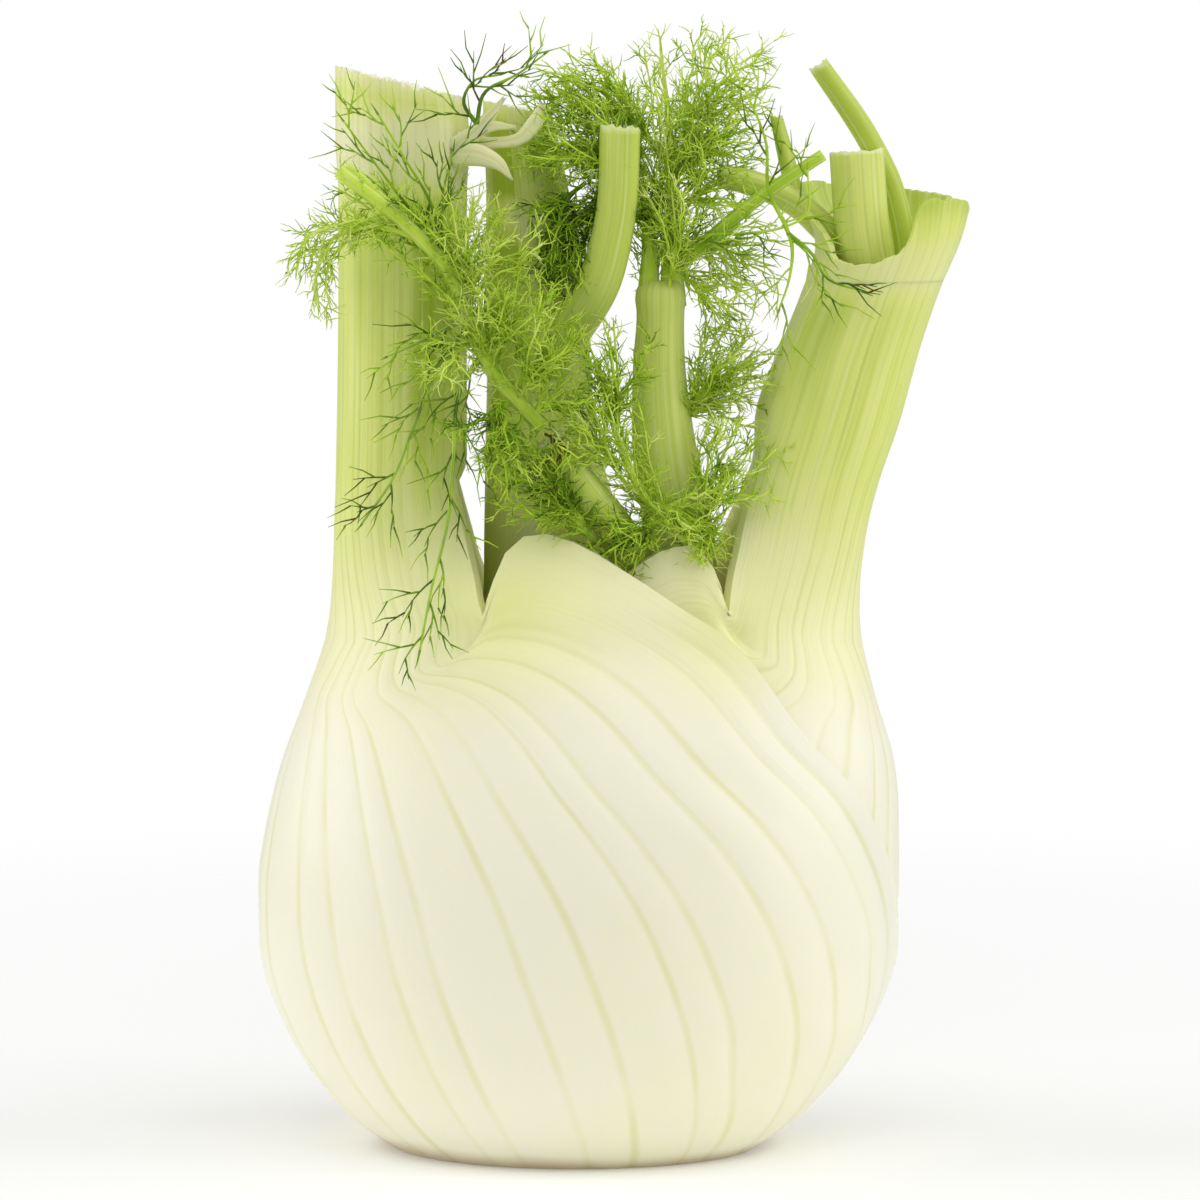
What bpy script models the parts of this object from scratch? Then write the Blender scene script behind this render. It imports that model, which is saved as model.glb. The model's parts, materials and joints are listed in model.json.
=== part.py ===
"""A fennel bulb with its stalks cut short and its feathery fronds.

Run it with  blender --background --python part.py  or from Blender's text editor.

The bulb is a set of leaves that clasp one another. Each leaf has a thick sheath, which wraps
round the bulb, and one stalk, which the sheath narrows into. The fronds are sprays of fine
threads that grow from the stalks. Lengths are in millimetres until the meshes are made.
X runs to the right, Y away from the viewer and Z up, from the middle of the cut base.
"""

import math
import random
from collections import namedtuple

import bmesh
import bpy
import numpy as np
from mathutils import Matrix, Vector
from mathutils.bvhtree import BVHTree

MM = 0.001

# The outside of the whole bulb: height, left edge, right edge and half depth.
BULB_OUTLINE = (
    (0, -28.5, 28.5, 22.0),
    (4, -34.5, 34.6, 26.5),
    (10, -40.0, 40.3, 31.0),
    (20, -45.9, 46.6, 35.5),
    (30, -49.0, 50.3, 37.6),
    (40, -49.4, 52.3, 38.0),
    (50, -48.1, 52.3, 36.5),
    (60, -45.6, 51.6, 33.0),
    (70, -41.9, 48.6, 28.0),
    (80, -38.6, 46.4, 22.5),
    (90, -37.6, 45.8, 17.5),
    (100, -37.4, 46.0, 13.0),
)

# The sheaths: their thickness far from the stalk and under it, and the room between two of them.
SHEATH_THIN = 0.9
SHEATH_THICK = 6.5
LAYER_GAP = 1.3
BASE_THINNING = 0.55
BASE_ZONE = 12.0
BACK_FACING = 110

# A sheath's margins: how late they climb, and how much of the thickness they lose how suddenly.
MARGIN_CLIMB = 2.4
MARGIN_THINNING = 0.6
MARGIN_SUDDENNESS = 12

# The veins, and how far round a stalk the outer face of its leaf goes.
GROOVE_DEPTH = 0.35
STALK_WRAP = 140.0
MARGIN_HALF_ANGLE = 3.0

# The room between two nodes, and how their distance is found.
CLEARANCE = 0.45
SPARE_ROOM = 0.1
BENDING_ROUNDS = 4
FAR_AWAY = 20.0
RAY = Vector((0.31, 0.17, 0.94)).normalized()
RAY_STEP = 0.001

# The stem of a spray: how it thins out, and where in its stretch each pair of branches stands.
STEM_TAPER = 0.6
STEM_TIP = 0.3
PAIR_PLACE = 0.65
FORK_WIDTH = 0.8
FORK_SLACK = 0.01
MOST_PLAIN = 5.0
LOOK_AHEAD = 0.1

# The side branches of a spray.
BRANCH_RADIUS = 0.42
BRANCH_TAPER = 0.45
BRANCH_BEND = 0.22
BRANCH_WOBBLE = 0.15
LONG_BRANCH = 4.5
LONG_FORKS = (0.36, 0.66)
SHORT_FORKS = (0.42,)
REACH_AT_ROOT = 1.1
REACH_LOSS = 0.5
REACH_VARIES = (0.85, 1.15)
BRANCH_TRIES = tuple(
    (math.radians(spread), share) for spread, share in ((48, 1), (30, 0.9), (60, 0.7), (40, 0.5))
)

# The threads of a branch.
THREAD_RADIUS = 0.2
THREAD_ROOM = 0.3
THREAD_STEP = 0.5
THREAD_SHARE = (0.55, 0.8)
THREAD_SPREAD = math.radians(38)
ROOT_ZONE = 1.4

# How finely the round parts are cut.
HEART_SIDES = 20
SHOOT_SIDES = 8
STUB_SIDES = 7
CUP_COLUMNS = 19
CUP_ROWS = (0, 0.4, 0.7, 1)
STEM_SIDES = 6
THIN_STEM_SIDES = 4
THICK_STEM = 1.0

# A level where the sheath lies on the bulb: its height at the middle of the leaf, then how far
# it sweeps round to its front margin and how high that margin is, and the same at the back.
Ring = namedtuple("Ring", "height front front_height back back_height")

# A level where the leaf is a stalk: its height, the middle of its oval and the half sizes.
Oval = namedtuple("Oval", "height x y half_x half_y tilt", defaults=(0.0,))

# A leaf: which way its middle faces, which way round its front side lies, how many veins it has,
# how deep its outer face lies in the bulb, how thick it is, and its levels.
Leaf = namedtuple("Leaf", "facing turn ribs outer_inset thickness levels")

# A spray of threads: its stem's path and root radius, then the length of its side branches near
# the root and how far apart they stand.
Spray = namedtuple("Spray", "path radius reach spacing")
DENSE = 5.3
SPARSE = 7.5
BARE = math.inf

LEFT_RINGS = (
    Ring(0, 200, 0, 135, 0),
    Ring(3, 197, 3, 132, 3),
    Ring(10, 190, 10, 126, 10),
    Ring(20, 181, 22, 122, 21),
    Ring(31, 171, 34, 118, 33),
    Ring(41, 160, 46, 114, 45),
    Ring(49, 148, 57, 109, 55),
    Ring(56, 135, 66, 103, 64),
    Ring(62, 120, 79.6, 96, 73),
    Ring(66, 106.5, 85.6, 89, 79),
    Ring(69, 95, 90.8, 83.5, 83),
    Ring(71.5, 84, 95.2, 78.5, 86),
    Ring(73.5, 76, 96.6, 74.5, 87.5),
    Ring(75.5, 69.5, 94, 71, 87.5),
    Ring(77.5, 66, 88.5, 68, 85.5),
    Ring(79.5, 64.5, 84.5, 66, 83),
)
LEFT_STALK = (
    Oval(88, -26.1, 0, 11.5, 13.8),
    Oval(96, -26.5, 0, 10.7, 12.0),
    Oval(107, -26.9, 0, 10.1, 10.2),
    Oval(128, -26.7, 0, 9.9, 9.2),
    Oval(148, -26.6, 0, 9.9, 9.2),
    Oval(156, -26.6, 0, 10.3, 9.5),
    Oval(165, -26.9, 0, 10.0, 8.8, -2.4),
)
RIGHT_RINGS = (
    Ring(0, 185, 0, 165, 0),
    Ring(3, 181, 3, 162, 3),
    Ring(10, 174, 10, 157, 10),
    Ring(20, 167, 20, 152, 20),
    Ring(31, 159, 31, 148, 31),
    Ring(41, 149, 42, 143, 42),
    Ring(49, 139, 52, 137, 50),
    Ring(56, 127, 63, 130, 60),
    Ring(62, 112, 74, 121, 69),
    Ring(66, 98, 82.5, 112, 75.5),
    Ring(69.5, 84.5, 90, 101, 81),
    Ring(72, 76, 93.6, 90, 84.5),
    Ring(74.5, 69, 94.4, 81, 86),
    Ring(77, 63, 90.5, 74, 85.5),
    Ring(79.5, 60, 84, 70, 83),
)
RIGHT_STALK = (
    Oval(88, 34.0, 0, 11.4, 13.0),
    Oval(99, 35.2, 0, 11.3, 10.8),
    Oval(112, 38.6, 0, 11.1, 10.0),
    Oval(125, 42.5, 0, 10.8, 9.6),
    Oval(131, 44.7, 0, 10.6, 9.5),
    Oval(138, 47.4, 0, 10.7, 9.7),
)
BACK_RINGS = (
    Ring(0, 125, 0, 125, 0),
    Ring(3, 124, 3, 124, 3),
    Ring(10, 122, 10, 122, 10),
    Ring(20, 119, 20, 119, 20),
    Ring(31, 115, 31, 115, 31),
    Ring(41, 110, 41.5, 110, 41.5),
    Ring(50, 102, 51, 102, 51),
    Ring(58, 90, 60, 90, 60),
    Ring(66, 75, 69, 75, 69),
    Ring(73, 60, 77, 60, 77),
)
BACK_STALK = (
    Oval(85, -3.2, 5.0, 11.3, 7.9),
    Oval(96, -3.7, 5.2, 10.6, 7.4),
    Oval(108, -5.2, 5.5, 8.9, 7.0),
    Oval(122, -5.8, 5.5, 8.0, 6.5),
    Oval(133, -6.2, 5.5, 7.9, 6.5),
    Oval(146, -7.3, 5.5, 6.6, 5.8),
    Oval(161, -9.0, 5.5, 5.4, 4.8, -1.0),
)
# The heart leaf is solid below: the base plate and the packed leaf bases, then the middle stalk.
HEART_HEIGHTS = (0, 3, 10, 20, 31, 41, 50, 57)
HEART_STALK = (
    Oval(66, 5.0, -1.5, 24.0, 12.5),
    Oval(72, 10.0, -3.0, 17.0, 10.0),
    Oval(78, 13.8, -4.4, 9.0, 7.4),
    Oval(86, 15.0, -3.4, 6.8, 6.1),
    Oval(94, 15.8, -2.5, 5.7, 5.4),
    Oval(108, 13.7, -2.0, 5.0, 4.8),
    Oval(122, 12.8, -2.0, 4.0, 3.9),
    Oval(130, 13.0, -2.0, 3.7, 3.6),
    Oval(133, 13.0, -2.0, 4.0, 3.8),
)

# What is cut or torn at the tops of the stalks: a path, and the radius at each of its points.
HEART_SHOOT = (
    ((12, -3, 76), (10.5, -4.5, 86), (8.5, -6.9, 92), (5.2, -10.2, 98), (1.6, -12.7, 103),
     (-3.8, -14, 111)),
    (3.0, 3.2, 3.2, 3.0, 2.7, 2.2),
)
BACK_STUB = (
    ((-3.5, 1, 121), (-0.5, -4, 127), (3.4, -7, 134), (6.0, -8, 144), (6.8, -8, 158)),
    (2.6, 3.1, 3.3, 3.1, 3.1),
)
RIGHT_STUB = (((45.5, -1, 134), (44.0, -2, 142), (43.0, -2, 154.2)), (4.2, 4.2, 4.2))
RIGHT_STICK = (
    ((51.5, 3, 133), (50.4, 3, 142), (48.6, 3, 149), (45.0, 3, 156), (37.3, 2, 167.3)),
    (1.7, 1.7, 1.7, 1.8, 1.6),
)
RIGHT_BRANCH = (
    ((44, 2, 136), (38, 1, 142.5), (34.6, 0, 145.6), (28, -1, 149), (22.5, -1.5, 150.4)),
    (2.2, 2.2, 2.1, 2.0, 1.8),
)
RIGHT_TWIG = (((34.2, 0.5, 145), (32.6, 1, 152), (30.8, 1, 159.3)), (1.3, 1.3, 1.0))
TORN_STRIPS = (
    (((-19, -4, 155), (-13.5, -7, 159.5), (-10.9, -8, 162)), (2.0, 1.2, 0.5)),
    (((-19, -3, 155), (-12, -6, 156), (-7.3, -6, 156.6), (-5, -5, 161)), (2.0, 1.2, 1.2, 0.6)),
    (((-19, -4, 153), (-13.5, -7.5, 153.8), (-10, -8.5, 151.4)), (2.0, 1.3, 0.5)),
)

# The right stalk opens into a torn cup: the rim's height by the angle round it, 0 at the right.
CUP_RIM = (
    (-50, 139.0),
    (-25, 143.5),
    (0, 145.8),
    (45, 147.5),
    (90, 148.5),
    (140, 149.5),
    (180, 148.5),
    (200, 144.0),
    (215, 139.5),
)
CUP_FOOT = Oval(135, 46.5, 0, 10.1, 9.2)
CUP_WAIST = Oval(140, 47.8, 0.2, 11.2, 10.0)
CUP_MOUTH = Oval(147, 47.2, 1.0, 13.8, 11.0)
CUP_WALL = 1.3

SHOOT_STEM = (
    (-4.9, -14.3, 112.6),
    (-8.5, -14.5, 116.5),
    (-13.0, -14.5, 122.0),
    (-16.2, -14.5, 130.0),
    (-19.5, -14.8, 137.0),
    (-26.0, -15.5, 143.5),
    (-35.2, -16.0, 150.0),
)
MIDDLE_STEM = (
    (13.1, -2.0, 133.5),
    (13.4, -1.0, 143.0),
    (14.2, 0.5, 154.0),
    (13.8, 1.5, 163.0),
    (13.0, 1.0, 170.0),
)
HEART_STEM = (
    (17.0, -9.6, 95.6),
    (12.8, -11.2, 100.0),
    (9.5, -12.5, 106.5),
    (8.0, -13.3, 114.0),
    (5.0, -13.5, 122.5),
)

# Each frond is one node. Its first spray is its main stem, and every other one starts on it.
FRONDS = {
    "shoot_frond": (
        Spray(SHOOT_STEM, 1.3, 4.0, DENSE),
        Spray(((-23.5, -15.2, 141.3), (-30.5, -15.5, 143.2), (-36.5, -13.5, 141.5),
               (-39.3, -11, 136.5), (-39.2, -9, 130.5)), 0.6, 5.0, DENSE),
        Spray(((-19.5, -14.8, 137.0), (-24.5, -15.5, 145), (-29, -15.5, 151),
               (-35, -14.5, 159)), 0.45, 7.0, SPARSE),
        Spray(((-20, -14.9, 137.6), (-22, -16, 147), (-25.5, -15.5, 153),
               (-29.8, -14, 160)), 0.45, 6.0, SPARSE),
        Spray(((-19.6, -14.8, 137.2), (-20.2, -16, 147), (-18.5, -15, 154.5)), 0.45, 6.0, SPARSE),
        Spray(((-16.2, -14.5, 130), (-14.5, -16.5, 137.5), (-11.5, -17, 144.5)), 0.5, 5.5, DENSE),
        Spray(((-13, -14.5, 122), (-10, -17, 129), (-8.5, -17, 136)), 0.5, 5.5, DENSE),
        Spray(((-14.3, -14.5, 125.5), (-19, -15.8, 124), (-23, -16, 121)), 0.5, 5.0, DENSE),
        Spray(((-8.5, -14.5, 116.5), (-6, -17, 124), (-2.5, -17.5, 131)), 0.5, 5.5, DENSE),
        Spray(((-14, -14.5, 124), (-17.5, -16.5, 118.5), (-18.5, -16.5, 108),
               (-19.5, -17, 98), (-21.8, -19, 88.5), (-23.5, -22, 79.5)), 0.5, 10.0, SPARSE),
        Spray(((-16, -14.6, 128.5), (-21, -16, 122), (-24.5, -15.5, 113),
               (-29, -14.5, 104.5), (-34.5, -13, 97.5)), 0.45, 8.0, SPARSE),
        Spray(((-16.2, -14.6, 129.5), (-24, -16, 125.5), (-33.5, -13.5, 121.5)), 0.45, 5.0, SPARSE),
    ),
    "shoot_side_frond": (
        Spray(((3.2, -12.6, 95), (0.5, -14.5, 98), (-3.5, -15, 101.5), (-9.5, -14, 106)),
              0.6, 6.0, DENSE),
    ),
    "heart_frond": (
        Spray(HEART_STEM, 1.1, 5.5, DENSE),
        Spray(((9.5, -12.5, 106.5), (4, -15.5, 110), (-0.5, -17, 114)), 0.5, 5.5, DENSE),
        Spray(((8.5, -13, 111), (10, -14, 119), (9, -14, 127)), 0.5, 5.5, DENSE),
        Spray(((12.6, -11.3, 100.3), (17, -13, 103), (21.5, -13, 108)), 0.5, 5.0, DENSE),
        Spray(((14, -10.6, 98.8), (8.5, -14.5, 96), (5, -16.5, 94)), 0.5, 4.5, DENSE),
    ),
    "middle_frond": (
        Spray(MIDDLE_STEM, 1.5, 7.0, DENSE),
        Spray(((13.3, -1.1, 143), (8, -2, 150), (1, -3, 156), (-6, -4, 160)), 0.6, 7.0, DENSE),
        Spray(((14, 0.2, 152), (8, -1, 160), (1, -2, 165), (-5, -2.5, 166.5)), 0.6, 6.0, DENSE),
        Spray(((14, 1, 160), (11, 1, 167), (12.5, 0, 174.4)), 0.5, 5.0, DENSE),
        Spray(((14.2, 0.5, 154), (20, 0, 162), (25.5, -1, 167), (28.5, -1.5, 168)),
              0.6, 6.5, DENSE),
        Spray(((13.8, -0.2, 149), (20.5, -1, 155), (27, -2, 158)), 0.5, 5.5, DENSE),
        Spray(((13.2, -1.3, 139.5), (21, -4, 139.5), (29.5, -5, 137)), 0.5, 5.5, DENSE),
        Spray(((13.2, -1.6, 137), (19, -4, 133.5), (25.5, -4.5, 129.5)), 0.5, 5.0, DENSE),
        Spray(((13.3, -1.2, 142), (6, -4.6, 146), (0, -5, 144), (-3, -5, 138),
               (-4, -5, 133)), 0.5, 5.0, DENSE),
        Spray(((13.8, -2, 136), (19, -4, 139.5), (24, -5.5, 144), (30.5, -6.5, 149),
               (37.7, -7, 153.8)), 1.4, 0, BARE),
        Spray(((13.8, -1.6, 137), (20, -1.5, 140), (25, -1, 143.5)), 1.4, 6.0, SPARSE),
        Spray(((13.8, -2.4, 138), (20, -6.5, 141.5), (26.1, -8.5, 141.9), (32, -9, 143),
               (34.8, -9, 144.4), (35.3, -9, 151.6)), 0.5, 5.0, SPARSE),
        Spray(((32, -9, 143), (29.4, -8.7, 148.3), (28.9, -8.7, 155.8), (26.4, -8, 162.2),
               (24.3, -7, 166.5)), 0.45, 8.0, SPARSE),
        Spray(((32, -9, 143), (32.8, -9.5, 140.8), (32.6, -10, 135.4), (31, -10.5, 130.5)),
              0.45, 7.0, SPARSE),
        Spray(((32.3, -9.2, 142), (36, -11, 138.8), (38, -12, 135.4), (43.4, -13, 133.3)),
              0.45, 5.0, SPARSE),
    ),
    "upper_side_frond": (
        Spray(((18.9, -2.5, 115.2), (21.5, -2.5, 119), (25.5, -3, 122.5), (30, -3.5, 125)),
              0.5, 5.0, DENSE),
        Spray(((20.0, -2.5, 116.8), (23, -3, 117.2), (28, -3.5, 117.5)), 0.45, 3.5, DENSE),
    ),
    "lower_side_frond": (
        Spray(((20.2, -8.2, 95.2), (20.6, -8.8, 99), (21.8, -9, 104.5), (24.5, -9, 110),
               (27.0, -8, 114.5)), 0.6, 6.0, DENSE),
        Spray(((20.6, -8.8, 99), (24, -10.5, 102), (27.5, -11, 106)), 0.5, 4.5, DENSE),
    ),
    "torn_sprig": (
        Spray(((-15.0, -11.0, 158.5), (-14.0, -11, 163), (-8.6, -10, 166.2), (-4.8, -9, 169)),
              0.5, 5.0, DENSE),
    ),
}

ROUGHNESS = 0.4
SHARP_ANGLE = math.radians(50)
FLESH_WHITE = (0.86, 0.87, 0.72)
STALK_GREEN = (0.60, 0.70, 0.28)
FROND_GREEN = (0.30, 0.48, 0.07)
DARK_GREEN = (0.16, 0.30, 0.07)
COLOURS = {
    "left_leaf": FLESH_WHITE,
    "right_leaf": FLESH_WHITE,
    "back_leaf": STALK_GREEN,
    "heart_leaf": STALK_GREEN,
    "torn_sprig": DARK_GREEN,
    "shoot_side_frond": DARK_GREEN,
}


def through(knots, values, at):
    """Points at the given places on a smooth curve that passes through all the values."""
    knots = np.asarray(knots, float)
    values = np.asarray(values, float)
    at = np.asarray(at, float)
    slopes = np.gradient(values, knots, axis=0)
    first = np.clip(np.searchsorted(knots, at, side="right") - 1, 0, len(knots) - 2)
    width = knots[first + 1] - knots[first]
    share = (at - knots[first]) / width
    spread = (...,) + (None,) * (values.ndim - 1)
    width, share = width[spread], share[spread]
    rise = share * share * (3 - 2 * share)
    leave = share * (1 - share) ** 2 * width
    arrive = share * share * (share - 1) * width
    return (
        values[first] * (1 - rise)
        + values[first + 1] * rise
        + slopes[first] * leave
        + slopes[first + 1] * arrive
    )


def bulb_section(height):
    """The middle in x, the half width and the half depth of the bulb at some heights."""
    outline = np.array(BULB_OUTLINE)
    left, right, depth = through(outline[:, 0], outline[:, 1:], height).T
    return (left + right) / 2, (right - left) / 2, depth


def base_share(height):
    """The sheaths are thinner where they meet the base plate."""
    return BASE_THINNING + (1 - BASE_THINNING) * np.clip(height / BASE_ZONE, 0, 1)


def thickness(share, height):
    return (SHEATH_THIN + (SHEATH_THICK - SHEATH_THIN) * share) * base_share(height)


def left_thickness(angle, height):
    return thickness((1 - np.cos(angle)) / 2, height)


def right_thickness(angle, height):
    return thickness((1 + np.cos(angle)) / 2, height)


def back_thickness(angle, height):
    return thickness((1 + np.cos(angle - math.radians(BACK_FACING))) / 2, height)


def no_inset(angle, height):
    return 0 * angle


def under_left(angle, height):
    return left_thickness(angle, height) + LAYER_GAP


def under_both(angle, height):
    return under_left(angle, height) + right_thickness(angle, height) + LAYER_GAP


def under_all(angle, height):
    return under_both(angle, height) + back_thickness(angle, height) + LAYER_GAP


def on_bulb(angle, height, inset):
    """Points at some angles and heights, this far in from the outside of the bulb."""
    middle, width, depth = bulb_section(height)
    x = middle + (width - inset) * np.cos(angle)
    return np.stack([x, (depth - inset) * np.sin(angle), height], axis=1)


LEAVES = {
    "left_leaf": Leaf(180, 1, 20, no_inset, left_thickness, LEFT_RINGS + LEFT_STALK),
    "right_leaf": Leaf(0, -1, 15, under_left, right_thickness, RIGHT_RINGS + RIGHT_STALK),
    "back_leaf": Leaf(BACK_FACING, 1, 9, under_both, back_thickness, BACK_RINGS + BACK_STALK),
}


def ring_curve(leaf, ring, across, inner):
    """The leaf's outer or inner face where it lies on the bulb, from back to front margin."""
    sweep = np.where(across > 0, ring.front, ring.back)
    margin = np.where(across > 0, ring.front_height, ring.back_height)
    angle = np.radians(leaf.facing + leaf.turn * across * sweep)
    height = ring.height + (margin - ring.height) * np.abs(across) ** MARGIN_CLIMB
    inset = leaf.outer_inset(angle, height)
    if inner:
        thin = 1 - MARGIN_THINNING * np.abs(across) ** MARGIN_SUDDENNESS
        inset = inset + leaf.thickness(angle, height) * thin
    return on_bulb(angle, height, inset)


def oval_curve(leaf, oval, across, inner):
    """The leaf's outer or inner face where it is a stalk: together they close an oval."""
    if inner:
        swept = 180 - (180 - STALK_WRAP - MARGIN_HALF_ANGLE) * across
    else:
        swept = (STALK_WRAP - MARGIN_HALF_ANGLE) * across
    angle = np.radians(leaf.facing + leaf.turn * swept)
    x = oval.half_x * np.cos(angle)
    height = oval.height + oval.tilt * x / oval.half_x
    return np.stack([oval.x + x, oval.y + oval.half_y * np.sin(angle), height], axis=1)


def leaf_faces(leaf):
    """The outer and inner faces of a leaf as grids of points, one row for each level."""
    fine = np.linspace(-1, 1, 2 * leaf.ribs + 1)
    coarse = np.linspace(-1, 1, leaf.ribs + 1)
    curves = [ring_curve if isinstance(x, Ring) else oval_curve for x in leaf.levels]
    pairs = list(zip(curves, leaf.levels))
    outer = np.array([curve(leaf, level, fine, False) for curve, level in pairs])
    under = np.array([curve(leaf, level, fine, True) for curve, level in pairs])
    inner = np.array([curve(leaf, level, coarse, True) for curve, level in pairs])
    inward = under - outer
    inward /= np.linalg.norm(inward, axis=2, keepdims=True)
    inward[0, :, 2] = 0
    outer[:, 1::2] += GROOVE_DEPTH * inward[:, 1::2]
    return outer, inner


def stitch(mesh, first, second):
    """Triangles between two rows of points that run side by side, of any two lengths."""
    i = j = 0
    while i < len(first) - 1 or j < len(second) - 1:
        next_i = (i + 1) / (len(first) - 1) if i < len(first) - 1 else math.inf
        next_j = (j + 1) / (len(second) - 1) if j < len(second) - 1 else math.inf
        if next_i <= next_j:
            mesh.faces.new((first[i], first[i + 1], second[j]))
            i += 1
        else:
            mesh.faces.new((first[i], second[j + 1], second[j]))
            j += 1


def grid(mesh, points):
    """A grid of points as vertices, with a face between each four neighbours."""
    rows = [[mesh.verts.new(p) for p in row] for row in points]
    for low, high in zip(rows, rows[1:]):
        for a, b, c, d in zip(low, low[1:], high[1:], high):
            mesh.faces.new((a, b, c, d))
    return rows


def finish(name, mesh, colour):
    """A bmesh in millimetres made into an object of its own colour, shaded smooth."""
    bmesh.ops.recalc_face_normals(mesh, faces=mesh.faces)
    mesh.transform(Matrix.Scale(MM, 4))
    data = bpy.data.meshes.new(name)
    mesh.to_mesh(data)
    mesh.free()
    data.shade_smooth()
    data.set_sharp_from_angle(angle=SHARP_ANGLE)
    material = bpy.data.materials.new(name)
    material.use_nodes = True
    shader = material.node_tree.nodes["Principled BSDF"]
    shader.inputs["Base Color"].default_value = (*colour, 1)
    shader.inputs["Roughness"].default_value = ROUGHNESS
    data.materials.append(material)
    return bpy.data.objects.new(name, data)


def sheet(name, outer, inner, colour):
    """A closed sheet between an outer and an inner face, with its four edges walled."""
    mesh = bmesh.new()
    front = grid(mesh, outer)
    back = grid(mesh, inner)
    stitch(mesh, front[0], back[0])
    stitch(mesh, front[-1], back[-1])
    stitch(mesh, [row[0] for row in front], [row[0] for row in back])
    stitch(mesh, [row[-1] for row in front], [row[-1] for row in back])
    return finish(name, mesh, colour)


def loft(name, rings, colour):
    """A closed skin over a row of rings of points, with flat ends."""
    mesh = bmesh.new()
    rows = [[mesh.verts.new(p) for p in ring] for ring in rings]
    for low, high in zip(rows, rows[1:]):
        for i in range(len(low)):
            j = (i + 1) % len(low)
            mesh.faces.new((low[i], low[j], high[j], high[i]))
    mesh.faces.new(rows[0][::-1])
    mesh.faces.new(rows[-1])
    return finish(name, mesh, colour)


def tube_rings(points, radii, sides):
    """Rings of points round a path, each turned as little as possible from the last."""
    points = [Vector(p) for p in points]
    radii = [float(r) for r in radii]
    along = [(b - a).normalized() for a, b in zip(points, points[1:])]
    along = [along[0]] + [(a + b).normalized() for a, b in zip(along, along[1:])] + [along[-1]]
    side = along[0].orthogonal().normalized()
    rings = []
    for point, radius, ahead in zip(points, radii, along):
        side = (side - ahead * side.dot(ahead)).normalized()
        across = ahead.cross(side)
        turns = [2 * math.pi * i / sides for i in range(sides)]
        rings.append([point + radius * (math.cos(t) * side + math.sin(t) * across) for t in turns])
    return rings


def tube(name, path, radii, sides, colour):
    return loft(name, tube_rings(path, radii, sides), colour)


def join(body, parts):
    """Fuses loose parts into a body with one Boolean union, and drops scraps left loose."""
    if not parts:
        return body
    collection = bpy.data.collections.new(body.name + "_parts")
    for part in parts:
        collection.objects.link(part)
    union = body.modifiers.new("join", "BOOLEAN")
    union.operation = "UNION"
    union.operand_type = "COLLECTION"
    union.collection = collection
    union.solver = "MANIFOLD"
    graph = bpy.context.evaluated_depsgraph_get()
    joined = bpy.data.meshes.new_from_object(body.evaluated_get(graph))
    body.modifiers.remove(union)
    for part in parts:
        bpy.data.objects.remove(part)
    bpy.data.collections.remove(collection)
    body.data = joined
    drop_scraps(joined)
    return body


def drop_scraps(data):
    """Leaves only the largest connected piece of a mesh."""
    mesh = bmesh.new()
    mesh.from_mesh(data)
    unseen = set(mesh.verts)
    pieces = []
    while unseen:
        piece, edge = set(), [unseen.pop()]
        while edge:
            vertex = edge.pop()
            piece.add(vertex)
            near = {e.other_vert(vertex) for e in vertex.link_edges} & unseen
            unseen -= near
            edge.extend(near)
        pieces.append(piece)
    largest = max(pieces, key=len)
    bmesh.ops.delete(mesh, geom=[v for v in mesh.verts if v not in largest], context="VERTS")
    mesh.to_mesh(data)
    mesh.free()


def show(obj):
    bpy.context.scene.collection.objects.link(obj)
    return obj


def make_leaf(name, extras=()):
    """One leaf, sheath and stalk in one piece, with what is left of its branches."""
    colour = COLOURS[name]
    outer, inner = leaf_faces(LEAVES[name])
    body = show(sheet(name, outer, inner, colour))
    stubs = [tube(name + "_extra", path, radii, STUB_SIDES, colour) for path, radii in extras]
    return join(body, stubs)


def heart_rings():
    turns = np.linspace(0, 2 * math.pi, HEART_SIDES, endpoint=False)
    rings = []
    for height in HEART_HEIGHTS:
        heights = np.full(HEART_SIDES, float(height))
        rings.append(on_bulb(turns, heights, under_all(turns, heights)))
    for oval in HEART_STALK:
        x = oval.x + oval.half_x * np.cos(turns)
        y = oval.y + oval.half_y * np.sin(turns)
        rings.append(np.stack([x, y, np.full(HEART_SIDES, float(oval.height))], axis=1))
    return rings


def make_heart():
    """The solid middle: base plate, packed leaf bases, the middle stalk and the small shoot."""
    colour = COLOURS["heart_leaf"]
    body = show(loft("heart_leaf", heart_rings(), colour))
    return join(body, [tube("heart_extra", *HEART_SHOOT, SHOOT_SIDES, colour)])


def make_cup(colour):
    """The thin torn cup at the top of the right stalk."""
    angles, heights = np.array(CUP_RIM, float).T
    turns = np.linspace(angles[0], angles[-1], CUP_COLUMNS)
    rim = through(angles, heights, turns)
    ovals = np.array([CUP_FOOT[:5], CUP_WAIST[:5], CUP_MOUTH[:5]], float)
    faces = []
    for inset in (0, CUP_WALL):
        rows = []
        for share in CUP_ROWS:
            height = CUP_FOOT.height + share * (rim - CUP_FOOT.height)
            x, y, half_x, half_y = through(ovals[:, 0], ovals[:, 1:], height).T
            across = np.radians(turns)
            wall_x = x + (half_x - inset) * np.cos(across)
            wall_y = y + (half_y - inset) * np.sin(across)
            rows.append(np.stack([wall_x, wall_y, height], axis=1))
        faces.append(np.array(rows))
    return sheet("cup", *faces, colour)


def surface(obj):
    """A search tree of an object's faces, in millimetres."""
    mesh = bmesh.new()
    mesh.from_mesh(obj.data)
    mesh.transform(Matrix.Scale(1 / MM, 4))
    tree = BVHTree.FromBMesh(mesh)
    mesh.free()
    return tree


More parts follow.
